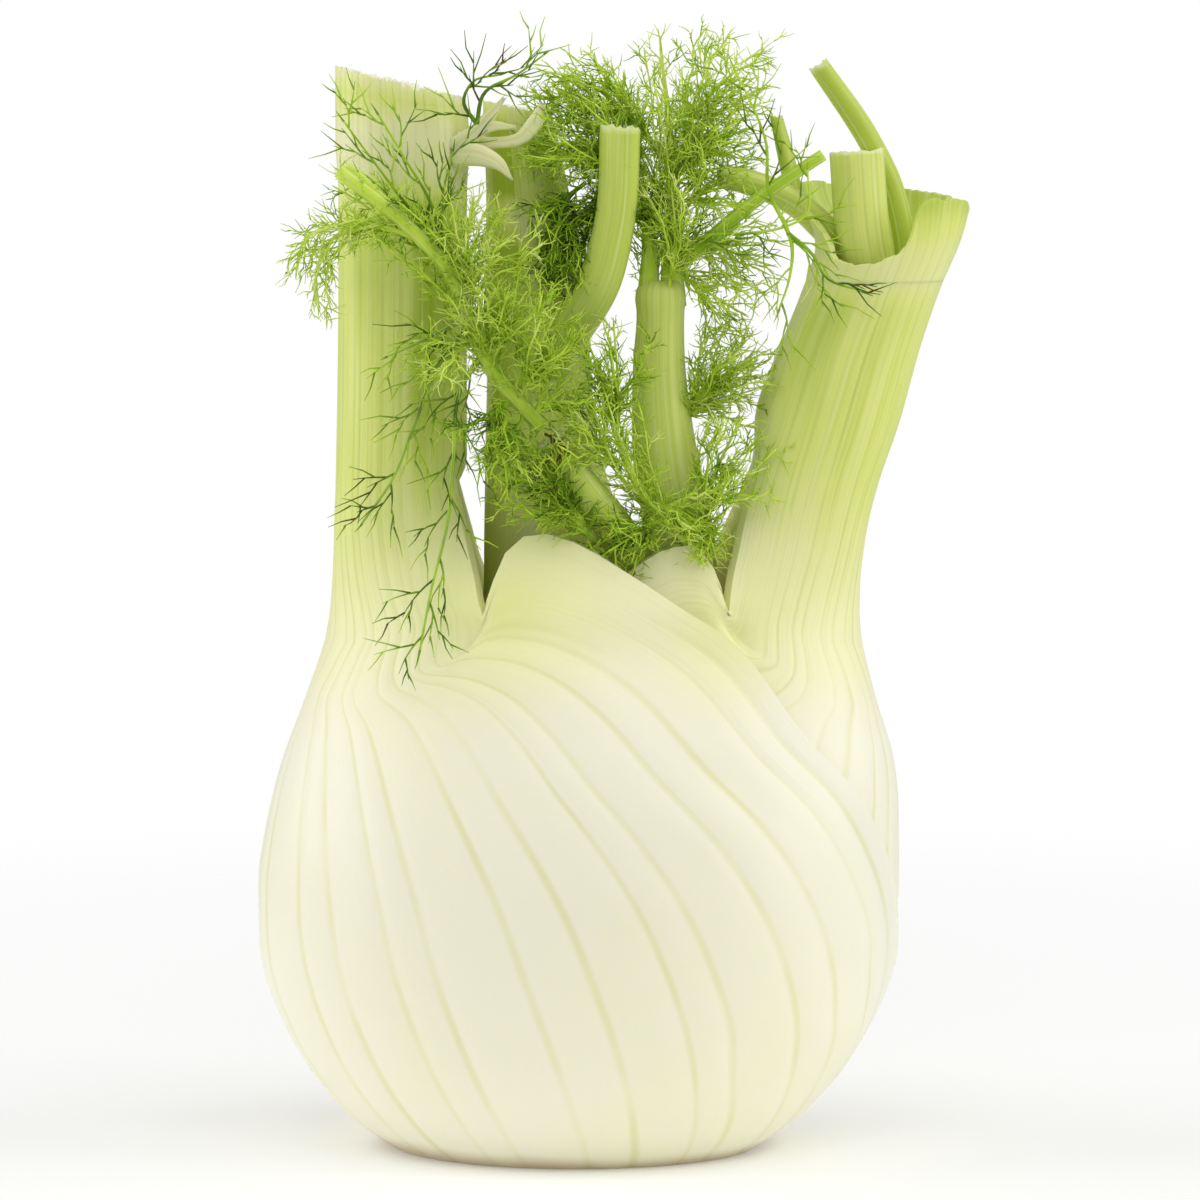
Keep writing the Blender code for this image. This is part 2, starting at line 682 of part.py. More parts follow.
def is_inside(tree, point):
    """Whether a point is in a closed mesh: a ray from it then crosses an odd number of faces."""
    crossed = 0
    hit = tree.ray_cast(point, RAY)[0]
    while hit:
        crossed += 1
        hit = tree.ray_cast(hit + RAY * RAY_STEP, RAY)[0]
    return crossed % 2 == 1


def way_out(point, room, obstacles):
    """The move that takes a point at least this far from every obstacle."""
    out = Vector()
    for tree in obstacles:
        near, normal, _, distance = tree.find_nearest(point + out)
        if is_inside(tree, point + out):
            out += near - (point + out) + normal * room
        elif distance < room:
            out += (point + out - near).normalized() * (room - distance)
    return out


def bent_clear(points, radii, obstacles, fixed=0):
    """The path, past its first fixed points, moved out of the way of every obstacle."""
    moved = [Vector(p) for p in points]
    for _ in range(BENDING_ROUNDS):
        for i in range(fixed, len(moved)):
            moved[i] += way_out(moved[i], radii[i] + CLEARANCE + SPARE_ROOM, obstacles)
        for i in range(fixed, len(moved) - 1):
            middle = moved[i].lerp(moved[i + 1], 0.5)
            out = way_out(middle, radii[i] + CLEARANCE + SPARE_ROOM, obstacles)
            moved[i] += out
            moved[i + 1] += out
    return moved


def thread_points(root, start, bend, length):
    """Points one step apart along a thread or a branch, past its root."""
    steps = np.arange(ROOT_ZONE, length + THREAD_STEP / 2, THREAD_STEP)
    return [root + start * t + bend * (t * t / length) for t in steps]


def is_clear(points, room, taken, obstacles):
    """Whether points keep this far from the threads made so far and from other nodes."""
    if not points:
        return True
    others = np.array(taken)
    gaps = np.linalg.norm(others[None, :, :3] - np.array(points)[:, None], axis=2)
    if (gaps - others[None, :, 3] < room).any():
        return False
    for tree in obstacles:
        for point in points:
            distance = tree.find_nearest(point)[3]
            if distance < room + CLEARANCE:
                return False
            if distance < FAR_AWAY and is_inside(tree, point):
                return False
    return True


def offsets_of(ring):
    centre = sum((v.co for v in ring), Vector()) / len(ring)
    return [v.co - centre for v in ring]


def grow(mesh, ring, points, headings, radii):
    """Grows a strand on from a ring of vertices, and gives back its rings and side faces."""
    rings, sides = [ring], []
    for point, heading, radius in zip(points, headings, radii):
        square = [o - heading * o.dot(heading) for o in offsets_of(rings[-1])]
        rings.append([mesh.verts.new(point + o.normalized() * radius) for o in square])
    for low, high in zip(rings, rings[1:]):
        pairs = [(i, (i + 1) % len(low)) for i in range(len(low))]
        sides.append([mesh.faces.new((low[i], low[j], high[j], high[i])) for i, j in pairs])
    return rings, sides


def end_in_point(mesh, ring, tip):
    tip = mesh.verts.new(tip)
    for i in range(len(ring)):
        mesh.faces.new((ring[i], ring[(i + 1) % len(ring)], tip))


def opened(mesh, face):
    """The corners of a side face, which is taken away so that a strand can grow there."""
    ring = list(face.verts)
    mesh.faces.remove(face)
    return ring


def outward(face, ahead):
    """The direction a side face looks in, square to the way its strand runs."""
    face.normal_update()
    return (face.normal - ahead * face.normal.dot(ahead)).normalized()


def add_thread(mesh, face, ahead, length, taken, obstacles):
    """A thread: a side face of a strand drawn out into a long thin point."""
    root = face.calc_center_median()
    start = ahead * math.cos(THREAD_SPREAD) + outward(face, ahead) * math.sin(THREAD_SPREAD)
    points = thread_points(root, start, Vector(), length)
    if is_clear(points, THREAD_ROOM, taken, obstacles):
        end_in_point(mesh, opened(mesh, face), root + start * length)
        taken.extend((*p, THREAD_RADIUS) for p in points)


def add_branch(mesh, face, ahead, reach, chance, taken, obstacles):
    """A side branch with its own threads, grown from a side face of a stem."""
    root = face.calc_center_median()
    side = outward(face, ahead)
    wobble = Vector([chance.uniform(-BRANCH_WOBBLE, BRANCH_WOBBLE) for _ in range(3)])
    for spread, share in BRANCH_TRIES:
        length = reach * share
        start = ahead * math.cos(spread) + side * math.sin(spread)
        bend = ahead * BRANCH_BEND + wobble
        points = thread_points(root, start, bend, length)
        if is_clear(points, BRANCH_RADIUS, taken, obstacles):
            break
    else:
        return
    forks = LONG_FORKS if length > LONG_BRANCH else SHORT_FORKS
    places = [p for fork in forks for p in (fork * length, fork * length + FORK_WIDTH)]
    along = [root + start * t + bend * (t * t / length) for t in places]
    headings = [(start + bend * (2 * t / length)).normalized() for t in places]
    radii = [BRANCH_RADIUS * (1 - BRANCH_TAPER * t / length) for t in places]
    rings, sides = grow(mesh, opened(mesh, face), along, headings, radii)
    end_in_point(mesh, rings[-1], root + start * length + bend * length)
    taken.extend((*p, BRANCH_RADIUS) for p in points)
    for number, place in enumerate(places[::2]):
        fork = sides[2 * number + 1]
        turn = chance.randrange(2)
        for face in (fork[turn], fork[turn + 2]):
            size = (length - place) * chance.uniform(*THREAD_SHARE)
            add_thread(mesh, face, headings[2 * number + 1], size, taken, obstacles)


def places_along(spray, length, corners):
    """Where along its stem a spray has rings: two at each pair of branches, a short way apart,
    and one more in the middle of a long plain stretch."""
    count = int(length / spray.spacing)
    if not count:
        return list(np.linspace(0, length, corners))
    places = [0.0]
    for i in range(count):
        middle = (i + PAIR_PLACE) / count * length
        plain = (middle - places[-1]) / 2
        places += [middle - plain] if plain > MOST_PLAIN / 2 else []
        places += [middle - FORK_WIDTH / 2, middle + FORK_WIDTH / 2]
    return places


def make_spray(name, spray, seed, taken, obstacles):
    """A stem with pairs of branches along it, each pair turned from the last, and a tip."""
    colour = COLOURS.get(name, FROND_GREEN)
    points = bent_clear(spray.path, [spray.radius] * len(spray.path), obstacles, fixed=1)
    steps = [(b - a).length for a, b in zip(points, points[1:])]
    knots = np.concatenate([[0], np.cumsum(steps)])
    length = knots[-1]
    places = places_along(spray, length, len(points))
    track = [Vector(p) for p in through(knots, points, places)]
    headings = [Vector(p) for p in through(knots, points, np.array(places) + LOOK_AHEAD)]
    headings = [(b - a).normalized() for a, b in zip(track, headings)]
    shares = np.array(places) / length
    thinning = spray.radius * (1 - STEM_TAPER * shares)
    radii = [float(r) for r in np.maximum(thinning, BRANCH_RADIUS)]
    sides = STEM_SIDES if spray.radius > THICK_STEM else THIN_STEM_SIDES
    mesh = bmesh.new()
    first = [mesh.verts.new(p) for p in tube_rings(track[:2], radii[:2], sides)[0]]
    rings, walls = grow(mesh, first, track[1:], headings[1:], radii[1:])
    mesh.faces.new(first[::-1])
    stem = through(knots, points, np.arange(0, length, THREAD_STEP))
    taken.extend((*p, spray.radius) for p in stem)
    if spray.spacing == BARE:
        mesh.faces.new(rings[-1])
        return finish(name, mesh, colour)
    end_in_point(mesh, rings[-1], points[-1] + headings[-1] * spray.reach * STEM_TIP)
    widest = FORK_WIDTH + FORK_SLACK
    forks = [i for i in range(1, len(places)) if places[i] - places[i - 1] < widest]
    for number, i in enumerate(forks):
        chance = random.Random(f"{seed} {number}")
        turn = number % (sides // 2)
        reach = spray.reach * (REACH_AT_ROOT - REACH_LOSS * shares[i])
        for face in (walls[i - 1][turn], walls[i - 1][turn + sides // 2]):
            size = reach * chance.uniform(*REACH_VARIES)
            add_branch(mesh, face, headings[i], size, chance, taken, obstacles)
    return finish(name, mesh, colour)


# Every list of taken points starts with one that is far from all the others.
FIRST_TAKEN = (0, 0, -1000, 0)


def make_frond(name, obstacles):
    """One frond: all its sprays fused to its main stem."""
    taken = [FIRST_TAKEN]
    sprays = [
        make_spray(name, spray, f"{name} {number}", taken, obstacles)
        for number, spray in enumerate(FRONDS[name])
    ]
    return join(show(sprays[0]), sprays[1:])


def build():
    for obj in list(bpy.data.objects):
        bpy.data.objects.remove(obj)
    leaves = [
        make_leaf("left_leaf", TORN_STRIPS),
        make_leaf("right_leaf", (RIGHT_STUB, RIGHT_STICK, RIGHT_BRANCH, RIGHT_TWIG)),
        make_leaf("back_leaf", (BACK_STUB,)),
        make_heart(),
    ]
    join(leaves[1], [make_cup(FLESH_WHITE)])
    obstacles = [surface(leaf) for leaf in leaves]
    for name in FRONDS:
        obstacles.append(surface(make_frond(name, obstacles)))


build()
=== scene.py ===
# %% [markdown]
# # A fennel bulb with its fronds
#
# A fennel bulb is a bunch of leaves. Each leaf has a thick white sheath that clasps the ones
# inside it, and the sheath narrows into one green stalk. The fronds are sprays of threads as fine
# as hair. This lesson dresses a plain model of such a bulb: every leaf is made again as a smooth
# ribbed sheet, and every frond again as thousands of curved threads.

# %% Load the plain model
import json
import math
import random
from collections import namedtuple

import bpy
import numpy as np
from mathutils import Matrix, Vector
from mathutils.bvhtree import BVHTree

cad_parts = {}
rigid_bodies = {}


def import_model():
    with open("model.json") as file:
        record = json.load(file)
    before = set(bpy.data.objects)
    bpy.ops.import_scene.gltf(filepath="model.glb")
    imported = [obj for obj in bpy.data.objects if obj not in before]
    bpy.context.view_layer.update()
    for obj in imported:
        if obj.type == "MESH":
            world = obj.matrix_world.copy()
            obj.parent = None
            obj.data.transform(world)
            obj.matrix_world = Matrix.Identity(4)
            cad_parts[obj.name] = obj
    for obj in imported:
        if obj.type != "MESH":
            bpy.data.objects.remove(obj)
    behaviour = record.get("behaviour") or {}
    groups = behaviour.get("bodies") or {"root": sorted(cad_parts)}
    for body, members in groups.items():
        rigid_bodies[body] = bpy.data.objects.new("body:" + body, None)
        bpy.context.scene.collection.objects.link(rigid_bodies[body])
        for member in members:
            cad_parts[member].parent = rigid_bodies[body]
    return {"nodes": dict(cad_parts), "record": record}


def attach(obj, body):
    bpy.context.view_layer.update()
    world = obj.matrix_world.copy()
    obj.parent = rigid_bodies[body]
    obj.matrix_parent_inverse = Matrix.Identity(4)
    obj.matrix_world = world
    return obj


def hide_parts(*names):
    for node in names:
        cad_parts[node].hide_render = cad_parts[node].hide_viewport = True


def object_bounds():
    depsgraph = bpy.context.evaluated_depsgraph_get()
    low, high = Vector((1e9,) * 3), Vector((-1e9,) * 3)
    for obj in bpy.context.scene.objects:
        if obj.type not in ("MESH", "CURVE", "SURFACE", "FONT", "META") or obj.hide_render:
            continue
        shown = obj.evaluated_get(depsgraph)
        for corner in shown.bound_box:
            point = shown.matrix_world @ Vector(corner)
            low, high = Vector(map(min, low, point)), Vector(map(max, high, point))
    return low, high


MM = 0.001
for startup in list(bpy.data.objects):
    bpy.data.objects.remove(startup)
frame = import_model()
cad_low, cad_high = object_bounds()
print("plain model, mm:", [round(v / MM, 1) for v in cad_high - cad_low])

# %% [markdown]
# ## The camera
#
# The bulb was photographed from a little above its middle, from far enough away that its sides
# hardly converge. So a long lens stands almost a metre away, 5.6 degrees above the level.

# %% Camera
PIXEL_MM = 0.1546
FRAME_PIXELS = 1200
FRAME_MM = FRAME_PIXELS * PIXEL_MM
LENS_MM = 180.0
SENSOR_MM = 36.0
ELEVATION = math.radians(5.6)
AIM_X_MM = 3.71
AIM_Z_MM = 84.57


def set_camera():
    camera = bpy.data.objects.new("camera", bpy.data.cameras.new("camera"))
    bpy.context.scene.collection.objects.link(camera)
    camera.data.lens = LENS_MM
    camera.data.sensor_width = SENSOR_MM
    camera.data.clip_start = 0.01
    out = Vector((0, -math.cos(ELEVATION), math.sin(ELEVATION)))
    aim = Vector((AIM_X_MM, 0, AIM_Z_MM / math.cos(ELEVATION))) * MM
    camera.location = aim + out * FRAME_MM * MM * LENS_MM / SENSOR_MM
    camera.rotation_euler = (-out).to_track_quat("-Z", "Y").to_euler()
    bpy.context.scene.camera = camera
    return camera


camera = set_camera()
print("camera stands at", [round(v, 3) for v in camera.location])

# %% [markdown]
# ## Colours
#
# A colour picked on a screen is brighter than the number that Blender mixes with, so one
# helper turns screen values from 0 to 255 into linear ones.


# %% Colour helper
def rgb(red, green, blue):
    shares = [value / 255 for value in (red, green, blue)]
    return (*[s / 12.92 if s <= 0.04045 else ((s + 0.055) / 1.055) ** 2.4 for s in shares], 1.0)


print("mid grey is", round(rgb(128, 128, 128)[0], 3), "in linear light")

# %% [markdown]
# ## Light and floor
#
# The bulb stands on a white table in a white tent, with a dimmer side where the camera looks in.
# That is why its rim is lighter than its middle. A white world stands in for the tent, large soft
# lamps stand left, right and above. The floor glows a little and fades out round the bulb, so it
# melts into the world but still takes the thin shadow under the belly.

# %% Light
Lamp = namedtuple("Lamp", "name place size power")
LAMPS = (
    Lamp("left_lamp", (-0.75, 0.00, 0.45), 0.7, 2.9),
    Lamp("right_lamp", (0.75, -0.10, 0.50), 0.7, 2.85),
    Lamp("top_lamp", (0.10, -0.45, 0.95), 0.8, 2.35),
)
LIT_FROM = Vector((0, 0, 0.08))
TENT_LIGHT = 0.5
TENT_SEEN = 1.0


def set_light():
    scene = bpy.context.scene
    scene.view_settings.view_transform = "Standard"
    world = bpy.data.worlds.new("white_tent")
    world.use_nodes = True
    tree = world.node_tree
    background = tree.nodes["Background"]
    background.inputs["Color"].default_value = (1, 1, 1, 1)
    seen = tree.nodes.new("ShaderNodeLightPath").outputs["Is Camera Ray"]
    strength = tree.nodes.new("ShaderNodeMapRange")
    strength.inputs["To Min"].default_value = TENT_LIGHT
    strength.inputs["To Max"].default_value = TENT_SEEN
    tree.links.new(seen, strength.inputs["Value"])
    tree.links.new(strength.outputs["Result"], background.inputs["Strength"])
    scene.world = world
    for lamp in LAMPS:
        light = bpy.data.lights.new(lamp.name, "AREA")
        light.size = lamp.size
        light.energy = lamp.power
        holder = bpy.data.objects.new(lamp.name, light)
        holder.location = lamp.place
        holder.rotation_euler = (LIT_FROM - holder.location).to_track_quat("-Z", "Y").to_euler()
        scene.collection.objects.link(holder)


set_light()
print(len(LAMPS), "lamps and a white world")

# %% [markdown]
# ## A helper for materials
#
# Each finish is a small network of nodes. Writing one out by hand takes many lines, so this helper
# adds a node, sets or links its sockets by name, and gives back one output to go on with.


# %% Material helper
class Recipe:
    """A material in the making, which ends in a Principled shader."""

    def __init__(self, name, **finish):
        self.material = bpy.data.materials.new(name)
        self.material.use_nodes = True
        self.tree = self.material.node_tree
        self.shader = self.tree.nodes["Principled BSDF"]
        for socket, value in finish.items():
            self.shader.inputs[socket.replace("_", " ")].default_value = value

    def node(self, kind, sockets, output=0, **settings):
        node = self.tree.nodes.new("ShaderNode" + kind)
        for setting, value in settings.items():
            setattr(node, setting, value)
        for socket, value in sockets.items():
            if isinstance(value, bpy.types.NodeSocket):
                self.tree.links.new(value, node.inputs[socket])
            else:
                node.inputs[socket].default_value = value
        return node.outputs[output]

    def painted(self, name):
        return self.node("Attribute", {}, "Fac", attribute_name=name)

    def sum(self, operation, *values, clamp=False):
        sockets = dict(enumerate(values))
        return self.node("Math", sockets, operation=operation, use_clamp=clamp)

    def place(self, x, y, z=0.0):
        return self.node("CombineXYZ", {"X": x, "Y": y, "Z": z})

    def noise(self, where, scale, detail=2.0):
        return self.node("TexNoise", {"Vector": where, "Scale": scale, "Detail": detail})

    def spread(self, value, low, high, to_low=0.0, to_high=1.0):
        sockets = {"Value": value, 1: low, 2: high, 3: to_low, 4: to_high}
        return self.node("MapRange", sockets, interpolation_type="SMOOTHSTEP")

    def blend(self, share, first, second):
        sockets = {0: share, 6: first, 7: second}
        return self.node("Mix", sockets, output=2, data_type="RGBA")

    def ramp(self, value, stops):
        out = self.node("ValToRGB", {"Fac": value})
        band = out.node.color_ramp
        while len(band.elements) < len(stops):
            band.elements.new(0.5)
        for element, (position, colour) in zip(band.elements, stops):
            element.position = position
            element.color = colour
        return out

    def finish(self, colour, relief=None, depth_mm=0.1):
        self.tree.links.new(colour, self.shader.inputs["Base Color"])
        if relief is not None:
            bump = self.node("Bump", {"Height": relief, "Distance": depth_mm * MM}, "Normal")
            self.tree.links.new(bump, self.shader.inputs["Normal"])
        return self.material


FLOOR_SIZE = 2.0
FLOOR_WHITE = rgb(246, 246, 246)
FLOOR_GLOW = 0.09
FLOOR_SOLID = 0.10
FLOOR_GONE = 0.40


def make_floor():
    bpy.ops.mesh.primitive_plane_add(size=FLOOR_SIZE)
    floor = bpy.context.active_object
    floor.name = "floor"
    recipe = Recipe("white_table", Roughness=0.9, Specular_IOR_Level=0.0)
    recipe.shader.inputs["Base Color"].default_value = FLOOR_WHITE
    recipe.shader.inputs["Emission Color"].default_value = (1, 1, 1, 1)
    recipe.shader.inputs["Emission Strength"].default_value = FLOOR_GLOW
    away = recipe.node("VectorMath", {0: recipe.node("TexCoord", {}, "Object")}, "Value",
                       operation="LENGTH")
    there = recipe.spread(away, FLOOR_SOLID, FLOOR_GONE, 1.0, 0.0)
    recipe.tree.links.new(there, recipe.shader.inputs["Alpha"])
    floor.data.materials.append(recipe.material)
    return floor


floor = make_floor()
print("floor is", FLOOR_SIZE, "m wide")

# %% [markdown]
# ## Smooth curves
#
# A shape is given at a few places, and everything between them lies on a smooth curve through
# them. The slope at each place is the one between its neighbours, so the curve has no corners.


# %% Curve helper
def through(knots, values, at, calm=False):
    """Points at the given places on a smooth curve that passes through all the values. A calm
    curve never swings past the values that it passes between."""
    knots = np.asarray(knots, float)
    values = np.asarray(values, float)
    at = np.asarray(at, float)
    slopes = np.gradient(values, knots, axis=0)
    if calm:
        apart = np.diff(knots).reshape((-1,) + (1,) * (values.ndim - 1))
        rises = np.diff(values, axis=0) / apart
        least = np.minimum(np.abs(rises[:-1]), np.abs(rises[1:]))
        same_way = rises[:-1] * rises[1:] > 0
        limit = np.where(same_way, 3 * least, 0)
        slopes[1:-1] = np.clip(slopes[1:-1], -limit, limit)
    first = np.clip(np.searchsorted(knots, at, side="right") - 1, 0, len(knots) - 2)
    width = knots[first + 1] - knots[first]
    share = (at - knots[first]) / width
    spread = (...,) + (None,) * (values.ndim - 1)
    width, share = width[spread], share[spread]
    rise = share * share * (3 - 2 * share)
    leave = share * (1 - share) ** 2 * width
    arrive = share * share * (share - 1) * width
    return (
        values[first] * (1 - rise)
        + values[first + 1] * rise
        + slopes[first] * leave
        + slopes[first + 1] * arrive
    )


def smooth(value, low, high):
    """A share that eases from 0 to 1 as the value goes from low to high."""
    share = np.clip((value - low) / (high - low), 0, 1)
    return share * share * (3 - 2 * share)


print("half way up a curve through 0, 1 and 4:", through((0, 1, 2), (0, 1, 4), (0.5,)).round(3))

# %% [markdown]
# ## The shape of the bulb
#
# The bulb is wider than it is deep, and its section is an oval at every height. A leaf lies on
# that oval at some depth below the outside. Each level of a leaf says how far it sweeps round the
# bulb to its two margins and how high it has climbed by then; above the bulb a level is simply
# the oval of the stalk.

# %% Bulb outline
BULB_OUTLINE = (
    (0, -28.5, 28.5, 22.0),
    (4, -34.5, 34.6, 26.5),
    (10, -40.0, 40.3, 31.0),
    (20, -45.9, 46.6, 35.5),
    (30, -49.0, 50.3, 37.6),
    (40, -49.4, 52.3, 38.0),
    (50, -48.1, 52.3, 36.5),
    (60, -45.6, 51.6, 33.0),
    (70, -41.9, 48.6, 28.0),
    (80, -38.6, 46.4, 22.5),
    (90, -37.6, 45.8, 17.5),
    (100, -37.4, 46.0, 13.0),
)
SHEATH_THIN = 0.9
SHEATH_THICK = 6.5
FACING = {"left_leaf": 180, "right_leaf": 0, "back_leaf": 110}
LAYER_GAP = 1.3
BASE_THINNING = 0.55
BASE_ZONE = 12.0
MARGIN_THINNING = 0.6
MARGIN_SHARPNESS = 12
STALK_WRAP = 140.0
MARGIN_HALF_ANGLE = 3.0


def bulb_section(height):
    """The middle in x, the half width and the half depth of the bulb at some heights."""
    outline = np.array(BULB_OUTLINE)
    left, right, depth = through(outline[:, 0], outline[:, 1:], height).T
    return (left + right) / 2, (right - left) / 2, depth


def on_bulb(angle, height, inset):
    """Points at some angles and heights, this far in from the outside of the bulb."""
    middle, width, depth = bulb_section(height)
    x = middle + (width - inset) * np.cos(angle)
    return np.stack([x, (depth - inset) * np.sin(angle), height], axis=1)


def sheath(angle, height, facing):
    """A sheath's thickness: most where its stalk stands, least on the far side."""
    share = (1 + np.cos(angle - math.radians(facing))) / 2
    base = BASE_THINNING + (1 - BASE_THINNING) * np.clip(height / BASE_ZONE, 0, 1)
    return (SHEATH_THIN + (SHEATH_THICK - SHEATH_THIN) * share) * base


def thinned(across):
    """The share of its thickness that a sheath keeps: less and less right at its margins."""
    return 1 - MARGIN_THINNING * np.abs(across) ** MARGIN_SHARPNESS


def depth_under(leaves, angle, height):
    """How far inside the bulb's outline a face lies that has all these leaves over it."""
    inset = 0 * angle
    for name in leaves:
        inset = inset + sheath(angle, height, FACING[name]) + LAYER_GAP
    return inset


print("the bulb is", bulb_section(np.array([40.0]))[1][0] * 2, "mm wide at its widest")

# %% [markdown]
# ## The levels of the leaves
#
# These are the leaves from the outside in. The left leaf covers the whole front; the right leaf
# comes out from under it; the back leaf is a short clasp with the flat stalk behind the middle.

# %% Leaf levels
Ring = namedtuple(
    "Ring", "height front front_height back back_height climb crowd", defaults=(2.4, 1.0)
)
Oval = namedtuple("Oval", "height x y half_x half_y tilt", defaults=(0.0,))
Neck = namedtuple("Neck", "ring oval share")
Leaf = namedtuple("Leaf", "facing turn ribs over levels")

LEFT_RINGS = (
    Ring(0, 200, 0, 135, 0),
    Ring(3, 197, 3, 132, 3),
    Ring(10, 190, 10, 126, 10),
    Ring(20, 181, 22, 122, 21),
    Ring(31, 171, 34, 118, 33),
    Ring(41, 160, 46, 114, 45),
    Ring(49, 148, 57, 109, 55),
    Ring(56, 135, 66, 103, 64),
    Ring(62, 120, 79.6, 96, 73),
    Ring(66, 106.5, 85.6, 89, 79),
    Ring(69, 95, 90.8, 83.5, 83, 3.1),
    Ring(71.5, 84, 95.2, 78.5, 86, 4.6, 0.95),
    Ring(73.5, 76, 96.6, 74.5, 87, 7, 0.85),
    Ring(75.5, 69.5, 94, 71, 86.5, 12.5, 0.75),
    Ring(77.5, 66, 88.5, 68, 84.5, 23, 0.68),
    Ring(79.5, 64.5, 84.5, 66, 83, 2.4, 0.62),
)
LEFT_NECK = (
    Neck(Ring(83, 63.5, 86.5, 65, 85, 2.4, 0.66), Oval(84, -26.0, 0, 11.9, 15.2), 0.06),
    Neck(Ring(87, 63, 89.5, 64, 88, 2.4, 0.74), Oval(88, -26.1, 0, 11.5, 14.2), 0.18),
    Neck(Ring(91.5, 62.5, 93, 62.5, 92, 2.4, 0.82), Oval(92, -26.3, 0, 11.1, 13.2), 0.36),
    Neck(Ring(96, 62, 97, 61.5, 96.5, 2.4, 0.9), Oval(96.5, -26.5, 0, 10.8, 12.2), 0.56),
    Neck(Ring(101, 61, 101.5, 61, 101), Oval(101, -26.7, 0, 10.4, 11.3), 0.78),
)
LEFT_STALK = (
    Oval(107, -26.9, 0, 10.1, 10.2),
    Oval(128, -26.7, 0, 9.9, 9.2),
    Oval(148, -26.6, 0, 9.9, 9.2),
    Oval(156, -26.6, 0, 10.3, 9.5),
    Oval(165, -26.9, 0, 10.0, 8.8, -2.4),
)
RIGHT_RINGS = (
    Ring(0, 185, 0, 165, 0),
    Ring(3, 181, 3, 162, 3),
    Ring(10, 174, 10, 157, 10),
    Ring(20, 167, 20, 152, 20),
    Ring(31, 159, 31, 148, 31),
    Ring(41, 149, 42, 143, 42),
    Ring(49, 139, 52, 137, 50),
    Ring(56, 127, 63, 130, 60),
    Ring(62, 112, 74, 121, 69),
    Ring(66, 98, 82.5, 112, 75.5),
    Ring(69.5, 84.5, 90, 101, 81, 3.3),
    Ring(72, 76, 93.6, 90, 84.5, 4.7, 0.92),
    Ring(74.5, 69, 94.4, 81, 86, 7.6, 0.82),
    Ring(77, 63, 90.5, 74, 85, 16, 0.7),
    Ring(79.5, 60, 84, 70, 83, 2.4, 0.62),
)
RIGHT_NECK = (
    Neck(Ring(83, 59.5, 86.5, 69, 85, 2.4, 0.66), Oval(84.5, 33.7, 0, 11.5, 13.8), 0.06),
    Neck(Ring(87.5, 59, 90, 67, 88.5, 2.4, 0.74), Oval(88.5, 34.0, 0, 11.4, 12.9), 0.18),
    Neck(Ring(92, 58, 94, 65, 92.5, 2.4, 0.82), Oval(93, 34.5, 0, 11.4, 12.0), 0.36),
    Neck(Ring(97, 57.5, 98.5, 63, 97.5, 2.4, 0.9), Oval(97.5, 35.1, 0, 11.3, 11.1), 0.56),
    Neck(Ring(102.5, 57, 103.5, 61, 103), Oval(103, 36.2, 0, 11.2, 10.6), 0.78),
)
RIGHT_STALK = (
    Oval(112, 38.6, 0, 11.1, 10.0),
    Oval(125, 42.5, 0, 10.8, 9.6),
    Oval(131, 44.7, 0, 10.6, 9.5),
    Oval(134.5, 46.0, 0, 10.6, 9.6),
)
BACK_RINGS = (
    Ring(0, 125, 0, 125, 0),
    Ring(3, 124, 3, 124, 3),
    Ring(10, 122, 10, 122, 10),
    Ring(20, 119, 20, 119, 20),
    Ring(31, 115, 31, 115, 31),
    Ring(41, 110, 41.5, 110, 41.5),
    Ring(50, 102, 51, 102, 51),
    Ring(58, 90, 60, 90, 60),
    Ring(66, 75, 69, 75, 69),
    Ring(73, 60, 77, 60, 77),
)
BACK_STALK = (
    Oval(85, -3.2, 5.0, 11.3, 7.9),
    Oval(96, -3.7, 5.2, 10.6, 7.4),
    Oval(108, -5.2, 5.5, 8.9, 7.0),
    Oval(122, -5.8, 5.5, 8.0, 6.5),
    Oval(133, -6.2, 5.5, 7.9, 6.5),
    Oval(146, -7.3, 5.5, 6.6, 5.8),
    Oval(161, -9.0, 5.5, 5.4, 4.8, -1.0),
)
OUTSIDE_IN = tuple(FACING)
LEAF_LEVELS = {
    "left_leaf": LEFT_RINGS + LEFT_NECK + LEFT_STALK,
    "right_leaf": RIGHT_RINGS + RIGHT_NECK + RIGHT_STALK,
    "back_leaf": BACK_RINGS + BACK_STALK,
}
LEAF_TURN = {"left_leaf": 1, "right_leaf": -1, "back_leaf": 1}
LEAF_RIBS = {"left_leaf": 20, "right_leaf": 15, "back_leaf": 9}
LEAVES = {
    name: Leaf(FACING[name], LEAF_TURN[name], LEAF_RIBS[name], OUTSIDE_IN[:i], LEAF_LEVELS[name])
    for i, name in enumerate(OUTSIDE_IN)
}
print(len(LEAVES), "leaves,", sum(len(leaf.levels) for leaf in LEAVES.values()), "levels")

# %% [markdown]
# ## From levels to a sheet
#
# Every level becomes a row of points for the outer face and one for the inner face. The rows in
# between lie on smooth curves through them, which is what makes the sheath flow into the stalk.


# %% Leaf faces
def ring_curve(leaf, ring, across, inner):
    """The leaf's outer or inner face where it lies on the bulb, from back to front margin."""
    sweep = np.where(across > 0, ring.front, ring.back)
    margin = np.where(across > 0, ring.front_height, ring.back_height)
    aside = np.abs(across) ** ring.crowd
    angle = np.radians(leaf.facing + leaf.turn * np.sign(across) * aside * sweep)
    height = ring.height + (margin - ring.height) * aside**ring.climb
    inset = depth_under(leaf.over, angle, height)
    if inner:
        inset = inset + sheath(angle, height, leaf.facing) * thinned(across)
    return on_bulb(angle, height, inset)


